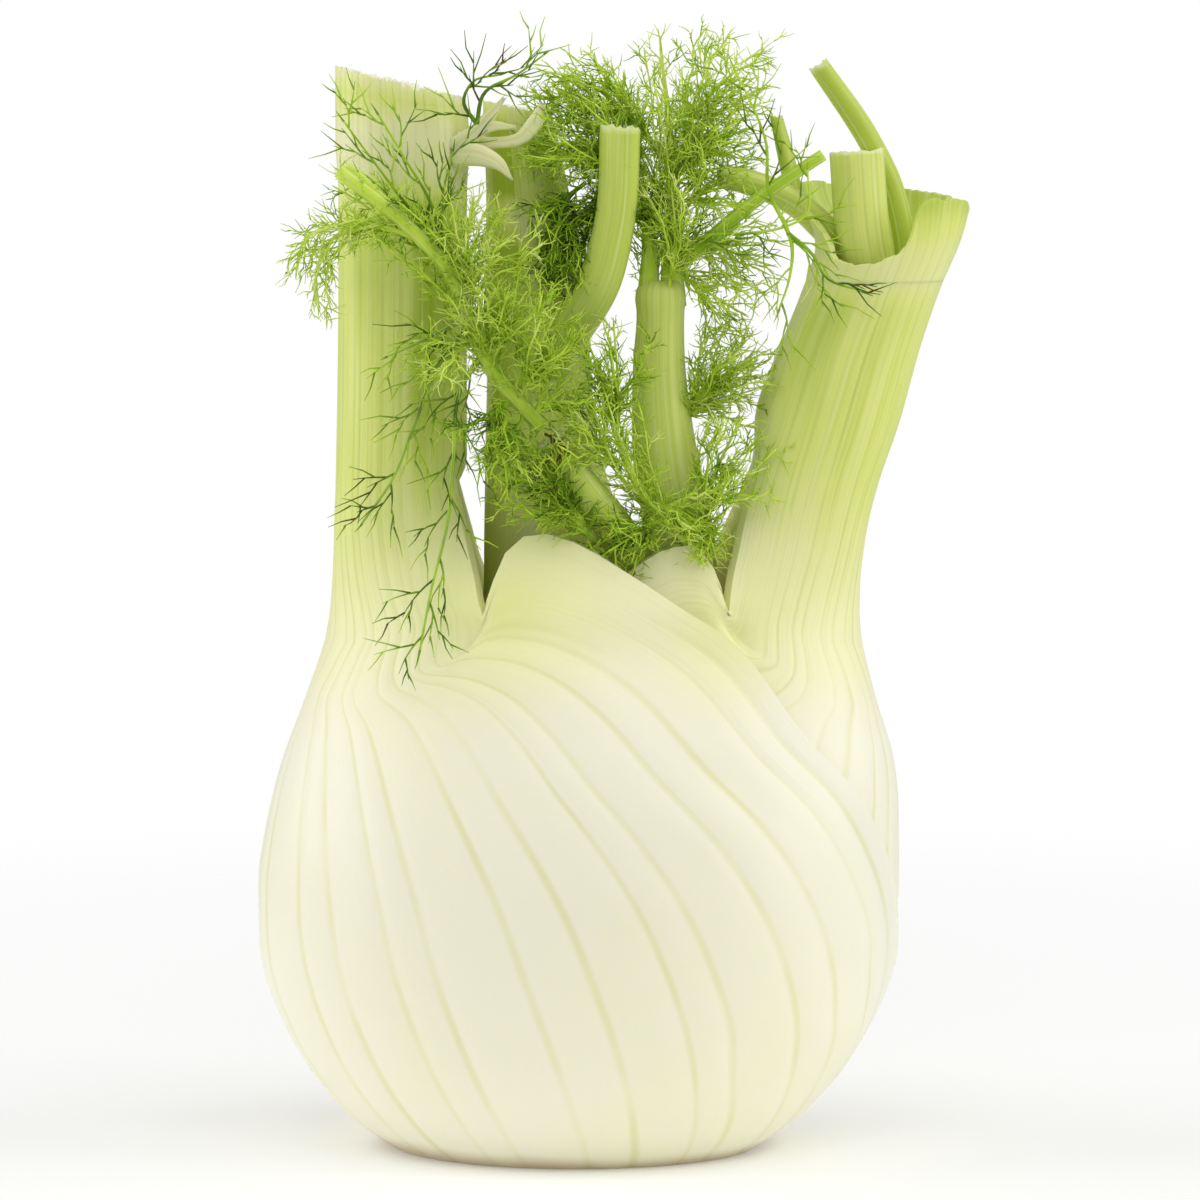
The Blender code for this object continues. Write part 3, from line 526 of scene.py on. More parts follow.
def oval_curve(leaf, oval, across, inner):
    """The leaf's outer or inner face where it is a stalk: together they close an oval."""
    if inner:
        swept = 180 - (180 - STALK_WRAP - MARGIN_HALF_ANGLE) * across
    else:
        swept = (STALK_WRAP - MARGIN_HALF_ANGLE) * across
    angle = np.radians(leaf.facing + leaf.turn * swept)
    x = oval.half_x * np.cos(angle)
    height = oval.height + oval.tilt * x / oval.half_x
    return np.stack([oval.x + x, oval.y + oval.half_y * np.sin(angle), height], axis=1)


def level_curve(leaf, level, across, inner):
    """The leaf's outer or inner face at a level: on the bulb, in the stalk or in between."""
    if isinstance(level, Ring):
        return ring_curve(leaf, level, across, inner)
    if isinstance(level, Oval):
        return oval_curve(leaf, level, across, inner)
    on_sheath = ring_curve(leaf, level.ring, across, inner)
    in_stalk = oval_curve(leaf, level.oval, across, inner)
    return on_sheath * (1 - level.share) + in_stalk * level.share


def leaf_face(leaf, across, rows, inner):
    """One face of a leaf as a fine grid of points, from the base up."""
    coarse = np.array([level_curve(leaf, level, across, inner) for level in leaf.levels])
    gaps = np.linalg.norm(np.diff(coarse, axis=0), axis=2).mean(axis=1)
    knots = np.concatenate([[0], np.cumsum(gaps)])
    return through(knots, coarse, np.linspace(0, knots[-1], rows), calm=True)


test = leaf_face(LEAVES["back_leaf"], np.linspace(-1, 1, 5), 4, False)
print("back leaf's middle, mm:", test[:, 2].round(1).tolist())

# %% [markdown]
# ## Patches of skin
#
# A patch is a grid of points with some painted values at each one. Values that a material needs,
# such as how green a leaf has turned, are worked out once per point and read by the nodes. Several
# patches together make one mesh, and every point of it is painted with its height as well.

# %% Patch helper
Patch = namedtuple("Patch", "points wrap paint")
PAINTS = {"rib": 0.0, "rib_width": 2.0, "green": 0.5, "cut": 0.0, "veined": 1.0}
Part = namedtuple("Part", "points quads paint")


def quads_of(rows, columns, wrap):
    """The corners of the squares in a grid, as places in its list of points."""
    index = np.arange(rows * columns).reshape(rows, columns)
    right = np.roll(index, -1, axis=1)
    squares = np.stack([index[:-1], right[:-1], right[1:], index[1:]], axis=-1)
    return (squares if wrap else squares[:, :-1]).reshape(-1, 4)


def make_mesh(name, node, parts, material):
    """Joins parts into one smooth mesh that takes the place of a node."""
    starts = np.cumsum([0] + [len(part.points) for part in parts])
    points = np.concatenate([part.points for part in parts]) * MM
    quads = np.concatenate([part.quads + start for part, start in zip(parts, starts)])
    mesh = bpy.data.meshes.new(name)
    mesh.from_pydata(points.tolist(), [], quads.tolist())
    for paint in parts[0].paint:
        values = np.concatenate([part.paint[paint] for part in parts])
        layer = mesh.attributes.new(paint, "FLOAT", "POINT")
        layer.data.foreach_set("value", values.astype(np.float32))
    mesh.shade_smooth()
    mesh.materials.append(material)
    piece = bpy.data.objects.new(name, mesh)
    bpy.context.scene.collection.objects.link(piece)
    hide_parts(node)
    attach(piece, "root")
    print(name, "has", 2 * len(mesh.polygons), "triangles")
    return piece


def make_piece(name, node, patches, material):
    """Makes patches into one mesh. A value that a patch leaves out is the usual one."""
    parts = []
    for patch in patches:
        shape = patch.points.shape[:2]
        paint = {**PAINTS, **patch.paint, "height": patch.points[..., 2]}
        flat = {key: np.broadcast_to(values, shape).ravel() for key, values in paint.items()}
        parts.append(Part(patch.points.reshape(-1, 3), quads_of(*shape, patch.wrap), flat))
    return make_mesh(name, node, parts, material)


record_slots = frame["record"].get("materials", [])
print("slots:", [m.get("slot") for m in record_slots])

# %% [markdown]
# ## Ribs
#
# A fennel leaf has veins that run from the base to the tip of its stalk, far apart on the bulb and
# close together on the stalk. Between them the flesh swells a little. Each vein here is a shallow
# groove, and the nodes paint a soft line in it, so the relief and the colour come from one value:
# the rib number, which is a whole number and a half in every groove.

# %% Ribs
GROOVE_DEPTH = 0.16
GROOVE_WIDTH = 1.0
SWELL = 0.12
FULL_RIB = 8.0
LEAST_DEPTH = 0.08
LEAST_GROOVE = 0.3
RIB_DRIFT = 0.26
RIB_WAVES = (2.3, 0.9)
VEINS_PER_RIB = 1.4
BESIDE_STALK = (0.45, 0.8)
TOP_MARGIN = (88, 98)
TOP_MARGIN_EARLY = 12
STALK_STARTS = 99
STALK_FADING = 0.3


def rib_number(leaf, across):
    even = (across + 1) / 2 * leaf.ribs * VEINS_PER_RIB
    quick, slow = RIB_WAVES
    return even + RIB_DRIFT * np.sin(even * quick + leaf.facing) * np.sin(even * slow)


def veined(outer, across):
    """How plainly the veins show: hardly at all near the top margins of the sheath."""
    height = outer[..., 2]
    beside = smooth(np.abs(across), *BESIDE_STALK)
    fading = beside * smooth(height + TOP_MARGIN_EARLY * beside, *TOP_MARGIN)
    return 1 - fading * np.where(height < STALK_STARTS, 1, STALK_FADING)


def ribbed(leaf, across, outer, inner):
    """The outer face with its grooves, and the rib number and rib width at each point."""
    rib = np.broadcast_to(rib_number(leaf, across), outer.shape[:2])
    steps = np.linalg.norm(np.gradient(outer, axis=1), axis=2)
    rib_width = steps / np.abs(np.gradient(rib, axis=1))
    from_groove = rib - np.floor(rib) - 0.5
    share = np.clip(rib_width / FULL_RIB, LEAST_DEPTH, 1)
    groove_width = GROOVE_WIDTH * np.maximum(share, LEAST_GROOVE)
    depth = GROOVE_DEPTH * share * np.exp(-((np.abs(from_groove) * rib_width / groove_width) ** 2))
    depth += SWELL * share * np.cos(np.pi * from_groove) ** 2
    depth *= veined(outer, across)
    inward = inner - outer
    inward /= np.linalg.norm(inward, axis=2, keepdims=True)
    inward[0, :, 2] = 0
    return outer + inward * depth[..., None], rib, rib_width


print("grooves up to", GROOVE_DEPTH + SWELL, "mm deep")

# %% [markdown]
# ## Where a leaf turns green
#
# The sheath is white where the soil or its neighbours shade it, and green where the light reaches
# it. It turns over a few centimetres, later near the thin margins than in the stalk itself. The
# notches beside the stalks are painted greener as painted shade in the creases, and so is the side
# that a stalk turns to the heart, as painted shade. A pale band crosses each stalk where it is
# swollen, with a yellowish scar on the left one.

# %% Greening
GREEN_STARTS = 62.0
GREEN_ENDS = 108.0
STALK_GREENNESS = 0.8
MARGIN_LATER = 10.0
MARGIN_SLOWER = 2.5
Spot = namedtuple("Spot", "x height amount")
NOTCH_SHADE_SPOTS = (Spot(-14.2, 84.5, 0.35), Spot(23.8, 83.0, 0.35), Spot(-2.5, 86.0, 0.16))
NOTCH_SHADE_REACH = 9.0
SCAR = Spot(-21.0, 154.2, 0.28)
SCAR_REACH = (2.6, 1.5)
Band = namedtuple("Band", "middle reach paleness")
NODE_BANDS = {
    "left_leaf": Band(154.5, 6.0, 0.75),
    "right_leaf": Band(136.5, 4.5, 0.32),
    "back_leaf": Band(144.0, 2.5, 0.6),
}
PAINTED_SHADE_SIDE = (0.70, 0.80)
PAINTED_SHADE_FROM = (90, 104)
PAINTED_SHADE_GREEN = {"left_leaf": 0.17, "right_leaf": 0.08, "back_leaf": 0.1}


def greening(name, points, across):
    """How far each point of a leaf has turned from white to green."""
    x, height = points[..., 0], points[..., 2]
    late = np.abs(across) ** 3 * MARGIN_LATER
    turned = smooth(height, GREEN_STARTS + late, GREEN_ENDS + MARGIN_SLOWER * late)
    green = STALK_GREENNESS * turned
    # Painted shade: the spots at the notches beside the stalks and on the hump between them add
    # green where the creases lie in shade.
    for shade_spot in NOTCH_SHADE_SPOTS:
        away = np.hypot(x - shade_spot.x, height - shade_spot.height)
        green = green + shade_spot.amount * np.exp(-((away / NOTCH_SHADE_REACH) ** 2))
    # Painted shade: the side of a stalk turned to the heart is painted greener and darker.
    painted_shade_side = smooth(across, *PAINTED_SHADE_SIDE) * smooth(height, *PAINTED_SHADE_FROM)
    green = green + PAINTED_SHADE_GREEN[name] * painted_shade_side
    band = NODE_BANDS[name]
    near = np.exp(-(np.abs((height - band.middle) / band.reach) ** 3))
    green = green * (1 - band.paleness * near)
    from_scar = (x - SCAR.x) / SCAR_REACH[0], (height - SCAR.height) / SCAR_REACH[1]
    in_scar = np.exp(-(from_scar[0] ** 2 + from_scar[1] ** 2)) * (points[..., 1] < 0)
    return np.clip(green + SCAR.amount * in_scar, 0, 1)


print("a leaf is green from", GREEN_STARTS, "to", GREEN_ENDS, "mm up")

# %% [markdown]
# ## The skin of a leaf
#
# Close up, the white part is cream with a pearly depth, because light enters it and comes out
# again about a millimetre away. The veins are soft yellow-green lines that fade in and out. The
# stalk is striped lengthwise in several greens. All of it comes from the rib number, the height
# and the painted greenness.


# %% Leaf material
FLESH = rgb(251, 248, 223)
CREAM = rgb(250, 246, 202)
PALE_GREEN = rgb(244, 245, 180)
STALK_GREEN = rgb(228, 238, 128)
DEEP_GREEN = rgb(184, 206, 62)
VEIN_ON_FLESH = rgb(224, 225, 150)
VEIN_ON_STALK = rgb(190, 208, 92)
STRIPE_LIGHT = rgb(236, 240, 182)
CUT_PALE = rgb(246, 246, 220)
BASE_BROWN_AND_SHADOW = rgb(186, 158, 110)
LEAF_COLOURS = (
    (0.0, FLESH),
    (0.14, CREAM),
    (0.4, PALE_GREEN),
    (0.78, STALK_GREEN),
    (1.0, DEEP_GREEN),
)
GRAIN_STRETCH = 0.022
BROAD_GRAIN = 0.9
FINE_GRAIN = 5.0
CLOUD_SCALE = 28.0
NOISE_DETAIL = 3.0
UNEVEN_GREEN = 0.4
CLOUDING = (0.45, 0.7, 0.0, 0.4)
LIGHT_STRIPES = (0.5, 0.7, 0.0, 0.45)
DARK_STRIPES = (0.5, 0.3, 0.0, 0.4)
VEIN_REACH = (2.0, 9.0, 0.35, 1.0)
VEIN_EDGE = (0.1, 1.1, 1.0, 0.0)
VEINS_APART = 7.3
VEIN_CHANGES = 0.05
VEIN_FADING = (0.35, 0.65, 0.15, 0.5)
FOOT_UNEVEN = 5.0
FOOT_BROWN_AND_SHADOW = (0.2, 3.0, 0.55, 0.0)
GRAIN_RELIEF = 0.6
CLOUD_RELIEF = 0.5
RELIEF_MM = 0.12


def leaf_finish(name, depth=0.0):
    recipe = Recipe(
        name,
        Roughness=0.36,
        Subsurface_Weight=0.3,
        Subsurface_Radius=(1.0, 0.85, 0.45),
        Subsurface_Scale=0.8 * MM,
        Specular_IOR_Level=0.4,
    )
    rib = recipe.painted("rib")
    width = recipe.painted("rib_width")
    green = recipe.painted("green")
    height = recipe.painted("height")
    cut = recipe.painted("cut")
    plainly = recipe.painted("veined")

    along = recipe.sum("MULTIPLY", height, GRAIN_STRETCH)
    broad = recipe.noise(recipe.place(rib, along), BROAD_GRAIN, NOISE_DETAIL)
    close = recipe.sum("MULTIPLY", rib, FINE_GRAIN)
    fine = recipe.noise(recipe.place(close, along), 1.0, NOISE_DETAIL)
    cloud = recipe.noise(recipe.node("TexCoord", {}, "Object"), CLOUD_SCALE, NOISE_DETAIL)

    uneven = recipe.sum("MULTIPLY", recipe.sum("SUBTRACT", broad, 0.5), UNEVEN_GREEN)
    turned = recipe.sum("MULTIPLY_ADD", uneven, green, green)
    # The depth shifts a whole finish along the greens: more green is painted shade, less green is
    # painted light.
    turned = recipe.sum("ADD", turned, depth, clamp=True)
    colour = recipe.ramp(turned, LEAF_COLOURS)
    clouding = recipe.spread(cloud, *CLOUDING)
    shy = recipe.sum("SUBTRACT", 1.0, green, clamp=True)
    colour = recipe.blend(recipe.sum("MULTIPLY", clouding, shy), colour, CREAM)

    stripe = recipe.spread(fine, *LIGHT_STRIPES)
    colour = recipe.blend(recipe.sum("MULTIPLY", stripe, green), colour, STRIPE_LIGHT)
    dark_stripe = recipe.spread(fine, *DARK_STRIPES)
    colour = recipe.blend(recipe.sum("MULTIPLY", dark_stripe, green), colour, VEIN_ON_STALK)

    part = recipe.sum("SUBTRACT", recipe.sum("FRACT", rib), 0.5)
    aside = recipe.sum("MULTIPLY", recipe.sum("ABSOLUTE", part), width)
    reach = recipe.spread(width, *VEIN_REACH)
    line = recipe.spread(recipe.sum("DIVIDE", aside, reach), *VEIN_EDGE)
    number = recipe.sum("MULTIPLY", recipe.sum("FLOOR", rib), VEINS_APART)
    changing = recipe.sum("MULTIPLY", height, VEIN_CHANGES)
    fading = recipe.noise(recipe.place(number, changing), 1.0)
    line = recipe.sum("MULTIPLY", line, recipe.spread(fading, *VEIN_FADING))
    line = recipe.sum("MULTIPLY", line, plainly)
    vein_colour = recipe.blend(green, VEIN_ON_FLESH, VEIN_ON_STALK)
    colour = recipe.blend(line, colour, vein_colour)
    colour = recipe.blend(cut, colour, CUT_PALE)
    # Brown at the very foot: partly the cut base's own colour, partly a painted shadow where the
    # bulb meets the table.
    foot = recipe.sum("MULTIPLY_ADD", recipe.sum("SUBTRACT", cloud, 0.5), FOOT_UNEVEN, height)
    colour = recipe.blend(recipe.spread(foot, *FOOT_BROWN_AND_SHADOW), colour, BASE_BROWN_AND_SHADOW)

    clouds = recipe.sum("MULTIPLY", cloud, CLOUD_RELIEF)
    relief = recipe.sum("MULTIPLY_ADD", fine, GRAIN_RELIEF, clouds)
    return recipe.finish(colour, relief, RELIEF_MM)


leaf_skin = leaf_finish("leaf_skin")
# The back leaf's finish is painted greener and darker as painted shade, for its stalk stands in
# the shade behind the others.
back_skin_painted_shade = leaf_finish("back_leaf_skin", depth=0.12)
# The heart's finish is painted paler as painted light, to make up for the shade that the fronds
# cast on its stalk.
heart_skin_painted_light = leaf_finish("heart_skin_painted_light", depth=-0.1)
print("three leaf finishes")

# %% [markdown]
# ## Cutting a leaf out
#
# The outer and inner faces are closed along both margins, at the base and at the cut top. The
# margins lie down on the leaf below, as the real ones do, so only a thin step shows. The cut end
# of a stalk sinks in behind a rim with small uneven bites.

# %% Leaf patches
LEAF_COLUMNS = {"left_leaf": 301, "right_leaf": 241, "back_leaf": 141}
LEAF_ROWS = {"left_leaf": 120, "right_leaf": 110, "back_leaf": 80}
BITE_DEPTH = {"left_leaf": 0.72, "right_leaf": 0.0, "back_leaf": 0.4}
BITE_COLUMNS = 5
FINE_BITE = 0.25
RIM_ROWS = 3
RIM_GREEN = 0.45
CUT_LIP = 0.94
CUT_HOLLOW = 0.9
CUT_PALENESS = 0.8
INNER_GREEN = 0.8
INNER_RIM_DROP = 0.1
MARGIN_STEP = 0.28
MARGIN_SLOPE = 0.72
SHEATH_ENDS = (76, 86)


def laid_down(across, outer, inner):
    """Both faces, with the margins lowered onto the leaf below where the sheath is on the bulb."""
    inward = inner - outer
    thick = np.linalg.norm(inward, axis=2, keepdims=True)
    inward /= thick
    inward[..., 2] = 0
    on_sheath = 1 - smooth(outer[..., 2], *SHEATH_ENDS)
    share = (smooth(np.abs(across), MARGIN_SLOPE, 1)[None] * on_sheath)[..., None]
    in_front = across[:, None] > 0
    at_margin = np.where(in_front, thick[:, -1:], thick[:, :1])
    thinned_away = np.where(in_front, 0, at_margin * MARGIN_THINNING / (1 - MARGIN_THINNING))
    lower_outer = (at_margin + thinned_away + LAYER_GAP - MARGIN_STEP) * share
    room = LAYER_GAP - MARGIN_STEP / 3
    deepest = thick / thinned(across[:, None]) - thick + room
    lower_inner = np.minimum((thinned_away + room) * share, deepest)
    return outer + inward * lower_outer, inner + inward * lower_inner


def ragged_rim(name, columns):
    """How far each place of a cut rim is torn off, in small uneven bites."""
    chance = np.random.default_rng(len(name))
    evened = np.ones(BITE_COLUMNS) / BITE_COLUMNS
    bites = np.convolve(chance.normal(0, 1, columns), evened, mode="same")
    return -np.abs(bites + chance.normal(0, FINE_BITE, columns)) * BITE_DEPTH[name]


def leaf_patches(name):
    leaf = LEAVES[name]
    across = np.linspace(-1, 1, LEAF_COLUMNS[name])
    rows = LEAF_ROWS[name]
    outer = leaf_face(leaf, across, rows, False)
    inner = leaf_face(leaf, across, rows, True)
    outer, inner = laid_down(across, outer, inner)
    torn = ragged_rim(name, len(across))
    outer[-1, :, 2] += torn
    inner[-1, :, 2] += torn - INNER_RIM_DROP
    outer, rib, rib_width = ribbed(leaf, across, outer, inner)
    green = greening(name, outer, across)
    if BITE_DEPTH[name]:
        green[-RIM_ROWS:] *= np.linspace(1, RIM_GREEN, RIM_ROWS)[:, None]
    plain = {"rib": rib, "rib_width": rib_width, "green": green, "veined": veined(outer, across)}
    inside = {**plain, "green": green[:, ::-1] * INNER_GREEN}
    patches = [Patch(outer, False, plain), Patch(inner[:, ::-1], False, inside)]
    for side in (0, -1):
        edge = np.stack([inner[:, side], outer[:, side]], axis=1)
        edge = edge if side == 0 else edge[:, ::-1]
        patches.append(Patch(edge, False, {"green": green[:, side, None]}))
    edges = (inner[-1], outer[-1])
    middle = (inner[-1] + outer[-1]).mean(axis=0) / 2
    lips = [middle + (edge - middle) * CUT_LIP for edge in edges]
    for lip, edge in zip(lips, edges):
        lip[:, 2] = edge[:, 2] - torn - CUT_HOLLOW
    caps = {0: (inner[0], outer[0]), -1: (edges[1], lips[1], lips[0], edges[0])}
    for end, rows in caps.items():
        paint = {"rib": rib[end], "green": green[end], "cut": CUT_PALENESS}
        patches.append(Patch(np.stack(rows), False, paint))
    return patches


left_patches = leaf_patches("left_leaf")
right_patches = leaf_patches("right_leaf")
back_patches = leaf_patches("back_leaf")
print("the left leaf has", left_patches[0].points.shape[:2], "points outside")

# %% [markdown]
# ## Stubs, sticks and torn strips
#
# Side branches were cut or torn from the stalks. Each is a rod on a curved path. Its end is closed
# by three more rings that sink in, and the rim of the cut is a little ragged. The torn strips at
# the left stalk's joint are rods too, but flat and almost white.


# %% Rods
TO_VIEWER = Vector((0, -1, 0))
ROD_END = ((0.93, 0.05), (0.5, -0.25), (0.02, -0.3))


def rod_rings(path, radii, sides, flat=1.0):
    """Rings of points round a path. A flat rod is thin from its front to its back."""
    points = [Vector(p) for p in path]
    along = [(b - a).normalized() for a, b in zip(points, points[1:])]
    along = [along[0]] + [(a + b).normalized() for a, b in zip(along, along[1:])] + [along[-1]]
    turns = np.linspace(0, 2 * math.pi, sides, endpoint=False)
    rings = []
    for point, radius, ahead in zip(points, radii, along):
        depth = (TO_VIEWER - ahead * TO_VIEWER.dot(ahead)).normalized()
        side = np.array(ahead.cross(depth))
        depth = np.array(depth) * flat
        ring = np.cos(turns)[:, None] * side + np.sin(turns)[:, None] * depth
        rings.append(np.array(point) + ring * radius)
    return np.array(rings), np.array(along)


def measured(path):
    """A path's points and how far along it each of them is."""
    path = np.asarray(path, float)
    steps = np.linalg.norm(np.diff(path, axis=0), axis=1)
    return path, np.concatenate([[0], np.cumsum(steps)])


def rod(path, radii, sides=28, steps=40, flat=1.0, stripes=9, green=0.85, ragged=0.25, seed=1,
        cut=0.7):
    """A round or flat rod with a ragged end that sinks in a little."""
    path, knots = measured(path)
    at = np.linspace(0, knots[-1], steps)
    rings, along = rod_rings(through(knots, path, at), through(knots, radii, at), sides, flat)
    chance = np.random.default_rng(seed)
    rings[-1] += along[-1] * (chance.normal(0, ragged, sides)[:, None])
    middle = rings[-1].mean(axis=0)
    end = [middle + (rings[-1] - middle) * share + along[-1] * rise for share, rise in ROD_END]
    rings = np.concatenate([rings, end])
    turns = np.arange(sides) / sides * stripes
    around = np.linalg.norm(np.roll(rings, -1, axis=1) - rings, axis=2) * sides / stripes
    is_cut = np.zeros(rings.shape[:2])
    is_cut[-len(end):] = cut
    is_cut[-len(end) - 1] = cut / 2
    paint = {"rib": turns[None], "rib_width": around, "green": green, "cut": is_cut}
    return Patch(rings, True, paint)


HEART_SHOOT = (
    ((12, -3, 76), (10.5, -4.5, 86), (8.5, -6.9, 92), (5.2, -10.2, 98), (1.6, -12.7, 103),
     (-3.8, -14, 111)),
    (3.0, 3.2, 3.2, 3.0, 2.7, 2.2),
)
BACK_STUB = (
    ((-3.5, 1, 121), (-0.5, -4, 127), (3.4, -7, 134), (6.0, -8, 144), (6.8, -8, 158)),
    (2.6, 3.1, 3.3, 3.1, 3.1),
)
RIGHT_STUB = (((45.5, -1, 134), (44.0, -2, 142), (43.0, -2, 154.2)), (4.2, 4.2, 4.2))
RIGHT_STICK = (
    ((51.5, 3, 133), (50.4, 3, 142), (48.6, 3, 149), (45.0, 3, 156), (37.3, 2, 167.3)),
    (1.7, 1.7, 1.7, 1.8, 1.6),
)
RIGHT_BRANCH = (
    ((44, 2, 136), (38, 1, 142.5), (34.6, 0, 145.6), (28, -1, 149), (22.5, -1.5, 150.4)),
    (2.2, 2.2, 2.1, 2.0, 1.8),
)
RIGHT_TWIG = (((34.2, 0.5, 145), (32.6, 1, 152), (30.8, 1, 159.3)), (1.3, 1.3, 1.0))
TORN_STRIPS = (
    (((-18.5, -6, 154.5), (-14.8, -7.5, 157.6), (-12.6, -8, 160.2), (-10.9, -8, 162.4)),
     (1.9, 1.15, 0.8, 0.25)),
    (((-18, -5, 155.5), (-12.5, -6.5, 155.6), (-8.6, -6.5, 156.2), (-6.2, -6, 158.6),
      (-5, -5.2, 161.4)), (1.8, 0.9, 1.0, 1.25, 0.5)),
    (((-18.5, -6, 154), (-14.2, -8, 153.6), (-11.6, -8.7, 152.4), (-9.8, -8.8, 150.2)),
     (2.0, 1.6, 1.0, 0.2)),
    (((-16.5, -6, 156.5), (-12.5, -8, 158.2), (-9.4, -8, 158.0)), (1.2, 0.8, 0.3)),
)
strips = [
    rod(path, radii, 20, 16, flat=0.34, stripes=5, green=0.24, cut=0.4, seed=3 + i)
    for i, (path, radii) in enumerate(TORN_STRIPS)
]
left_leaf = make_piece("left_leaf_skin", "left_leaf", left_patches + strips, leaf_skin)

# %% [markdown]
# ## The torn cup
#
# At the top of the right stalk the sheath of a younger leaf opened like a cup and was torn. It is
# a thin sheet that goes on from the stalk's last oval, with its rim torn low at the front left.

# %% Cup
CUP_RIM = (
    (-180, 148.5),
    (-160, 144.0),
    (-145, 139.5),
    (-118, 137.4),
    (-92, 138.2),
    (-76, 140.6),
    (-67, 145.6),
    (-52, 147.4),
    (-25, 146.8),
    (0, 145.6),
    (45, 147.5),
    (90, 148.5),
    (140, 149.5),
    (180, 148.5),
)
CUP_FOOT = RIGHT_STALK[-1]
CUP_WAIST = Oval(140, 47.9, 0.2, 11.1, 10.0)
CUP_MOUTH = Oval(147, 47.2, 1.0, 13.8, 11.0)
CUP_WALL = 1.1
CUP_COLUMNS = 160
CUP_ROWS = 28
CUP_BITE = 0.5
CUP_BITE_COLUMNS = 4
CUP_RIM_ZONE = (143, 147)
CUP_RIM_GREEN = 0.12
CUP_TUCK = 0.12


def cup_patches():
    angles, heights = np.array(CUP_RIM, float).T
    turns = np.linspace(angles[0], angles[-1], CUP_COLUMNS, endpoint=False)
    chance = np.random.default_rng(5)
    evened = np.ones(CUP_BITE_COLUMNS) / CUP_BITE_COLUMNS
    bites = np.convolve(chance.normal(0, CUP_BITE, CUP_COLUMNS), evened, mode="same")
    rim = through(angles, heights, turns, calm=True) - np.abs(bites)
    ovals = np.array([CUP_FOOT[:5], CUP_WAIST[:5], CUP_MOUTH[:5]], float)
    faces = []
    for inset in (0, CUP_WALL):
        rows = []
        for share in np.linspace(0, 1, CUP_ROWS):
            height = CUP_FOOT.height + share * (rim - CUP_FOOT.height)
            x, y, half_x, half_y = through(ovals[:, 0], ovals[:, 1:], height).T
            swept = np.radians(turns)
            wall = (half_x - inset) * np.cos(swept), (half_y - inset) * np.sin(swept)
            rows.append(np.stack([x + wall[0], y + wall[1], height], axis=1))
        faces.append(np.array(rows))
    outer, inner = faces
    across = -turns / (STALK_WRAP - MARGIN_HALF_ANGLE)
    outer, rib, rib_width = ribbed(LEAVES["right_leaf"], across, outer, inner)
    rise = outer[1] - outer[0]
    tucked = outer[0] - rise * (CUP_TUCK / rise[:, 2:])
    outer = np.concatenate([[tucked], outer])
    patches = []
    for points, ribs in ((outer, rib[0]), (inner[:, ::-1], rib[0, ::-1]),
                         (np.stack([outer[-1], inner[-1]]), rib[0])):
        green = greening("right_leaf", points, np.zeros(CUP_COLUMNS))
        green = green + CUP_RIM_GREEN * smooth(points[..., 2], *CUP_RIM_ZONE)
        paint = {"rib": ribs, "rib_width": rib_width.mean(), "green": green}
        patches.append(Patch(points, True, paint))
    return patches


right_extras = [
    rod(*RIGHT_STUB, stripes=11, green=0.8, ragged=0.2, seed=11),
    rod(*RIGHT_STICK, flat=0.6, stripes=5, green=0.95, seed=12),
    rod(*RIGHT_BRANCH, stripes=6, green=0.85, ragged=0.5, seed=13),
    rod(*RIGHT_TWIG, stripes=4, green=0.95, seed=14),
]
right_leaf = make_piece(
    "right_leaf_skin", "right_leaf", right_patches + cup_patches() + right_extras, leaf_skin
)
back_leaf = make_piece(
    "back_leaf_skin", "back_leaf", back_patches + [rod(*BACK_STUB, green=0.8, seed=15)], back_skin_painted_shade
)

# %% [markdown]
# ## The heart
#
# Inside the leaves sits the solid heart, with the base plate below and the thin middle stalk
# above, and in front of that a small shoot that was torn off.

# %% Heart
HEART_HEIGHTS = (0, 3, 10, 20, 31, 41, 50, 57)
HEART_STALK = (
    Oval(66, 5.0, -1.5, 24.0, 12.5),
    Oval(72, 10.0, -3.0, 17.0, 10.0),
    Oval(78, 13.8, -4.4, 9.0, 7.4),
    Oval(86, 15.0, -3.4, 6.8, 6.1),
    Oval(94, 15.8, -2.5, 5.7, 5.4),
    Oval(108, 13.7, -2.0, 5.0, 4.8),
    Oval(122, 12.8, -2.0, 4.0, 3.9),
    Oval(130, 13.0, -2.0, 3.7, 3.6),
    Oval(132.6, 13.0, -2.0, 3.9, 3.7),
    Oval(134.4, 13.1, -1.9, 3.1, 2.7),
)
HEART_SIDES = 72
HEART_ROWS = 90
HEART_RIBS = 10
HEART_TURNS_GREEN = (70, 100)
HEART_GREENNESS = 0.9
POINTED = 0.02


def heart_patch():
    sides = HEART_SIDES
    turns = np.linspace(0, 2 * math.pi, sides, endpoint=False)
    rings = []
    for height in HEART_HEIGHTS:
        heights = np.full(sides, float(height))
        rings.append(on_bulb(turns, heights, depth_under(OUTSIDE_IN, turns, heights)))
    for oval in HEART_STALK:
        x = oval.x + oval.half_x * np.cos(turns)
        y = oval.y + oval.half_y * np.sin(turns)
        rings.append(np.stack([x, y, np.full(sides, float(oval.height))], axis=1))
    knots = [ring[0, 2] for ring in rings]
    points = through(knots, np.array(rings), np.linspace(0, knots[-1], HEART_ROWS))
    middles = points.mean(axis=1, keepdims=True)
    closed = middles + (points - middles) * POINTED
    points = np.concatenate([closed[:1], points, closed[-1:]])
    green = smooth(points[..., 2], *HEART_TURNS_GREEN) * HEART_GREENNESS
    rib = turns / (2 * math.pi) * HEART_RIBS
    width = np.linalg.norm(np.roll(points, -1, axis=1) - points, axis=2) * sides / HEART_RIBS
    cut = np.zeros(points.shape[:2])
    cut[0] = cut[-1] = CUT_PALENESS
    paint = {"rib": rib, "rib_width": width, "green": green, "cut": cut}
    return Patch(points, True, paint)


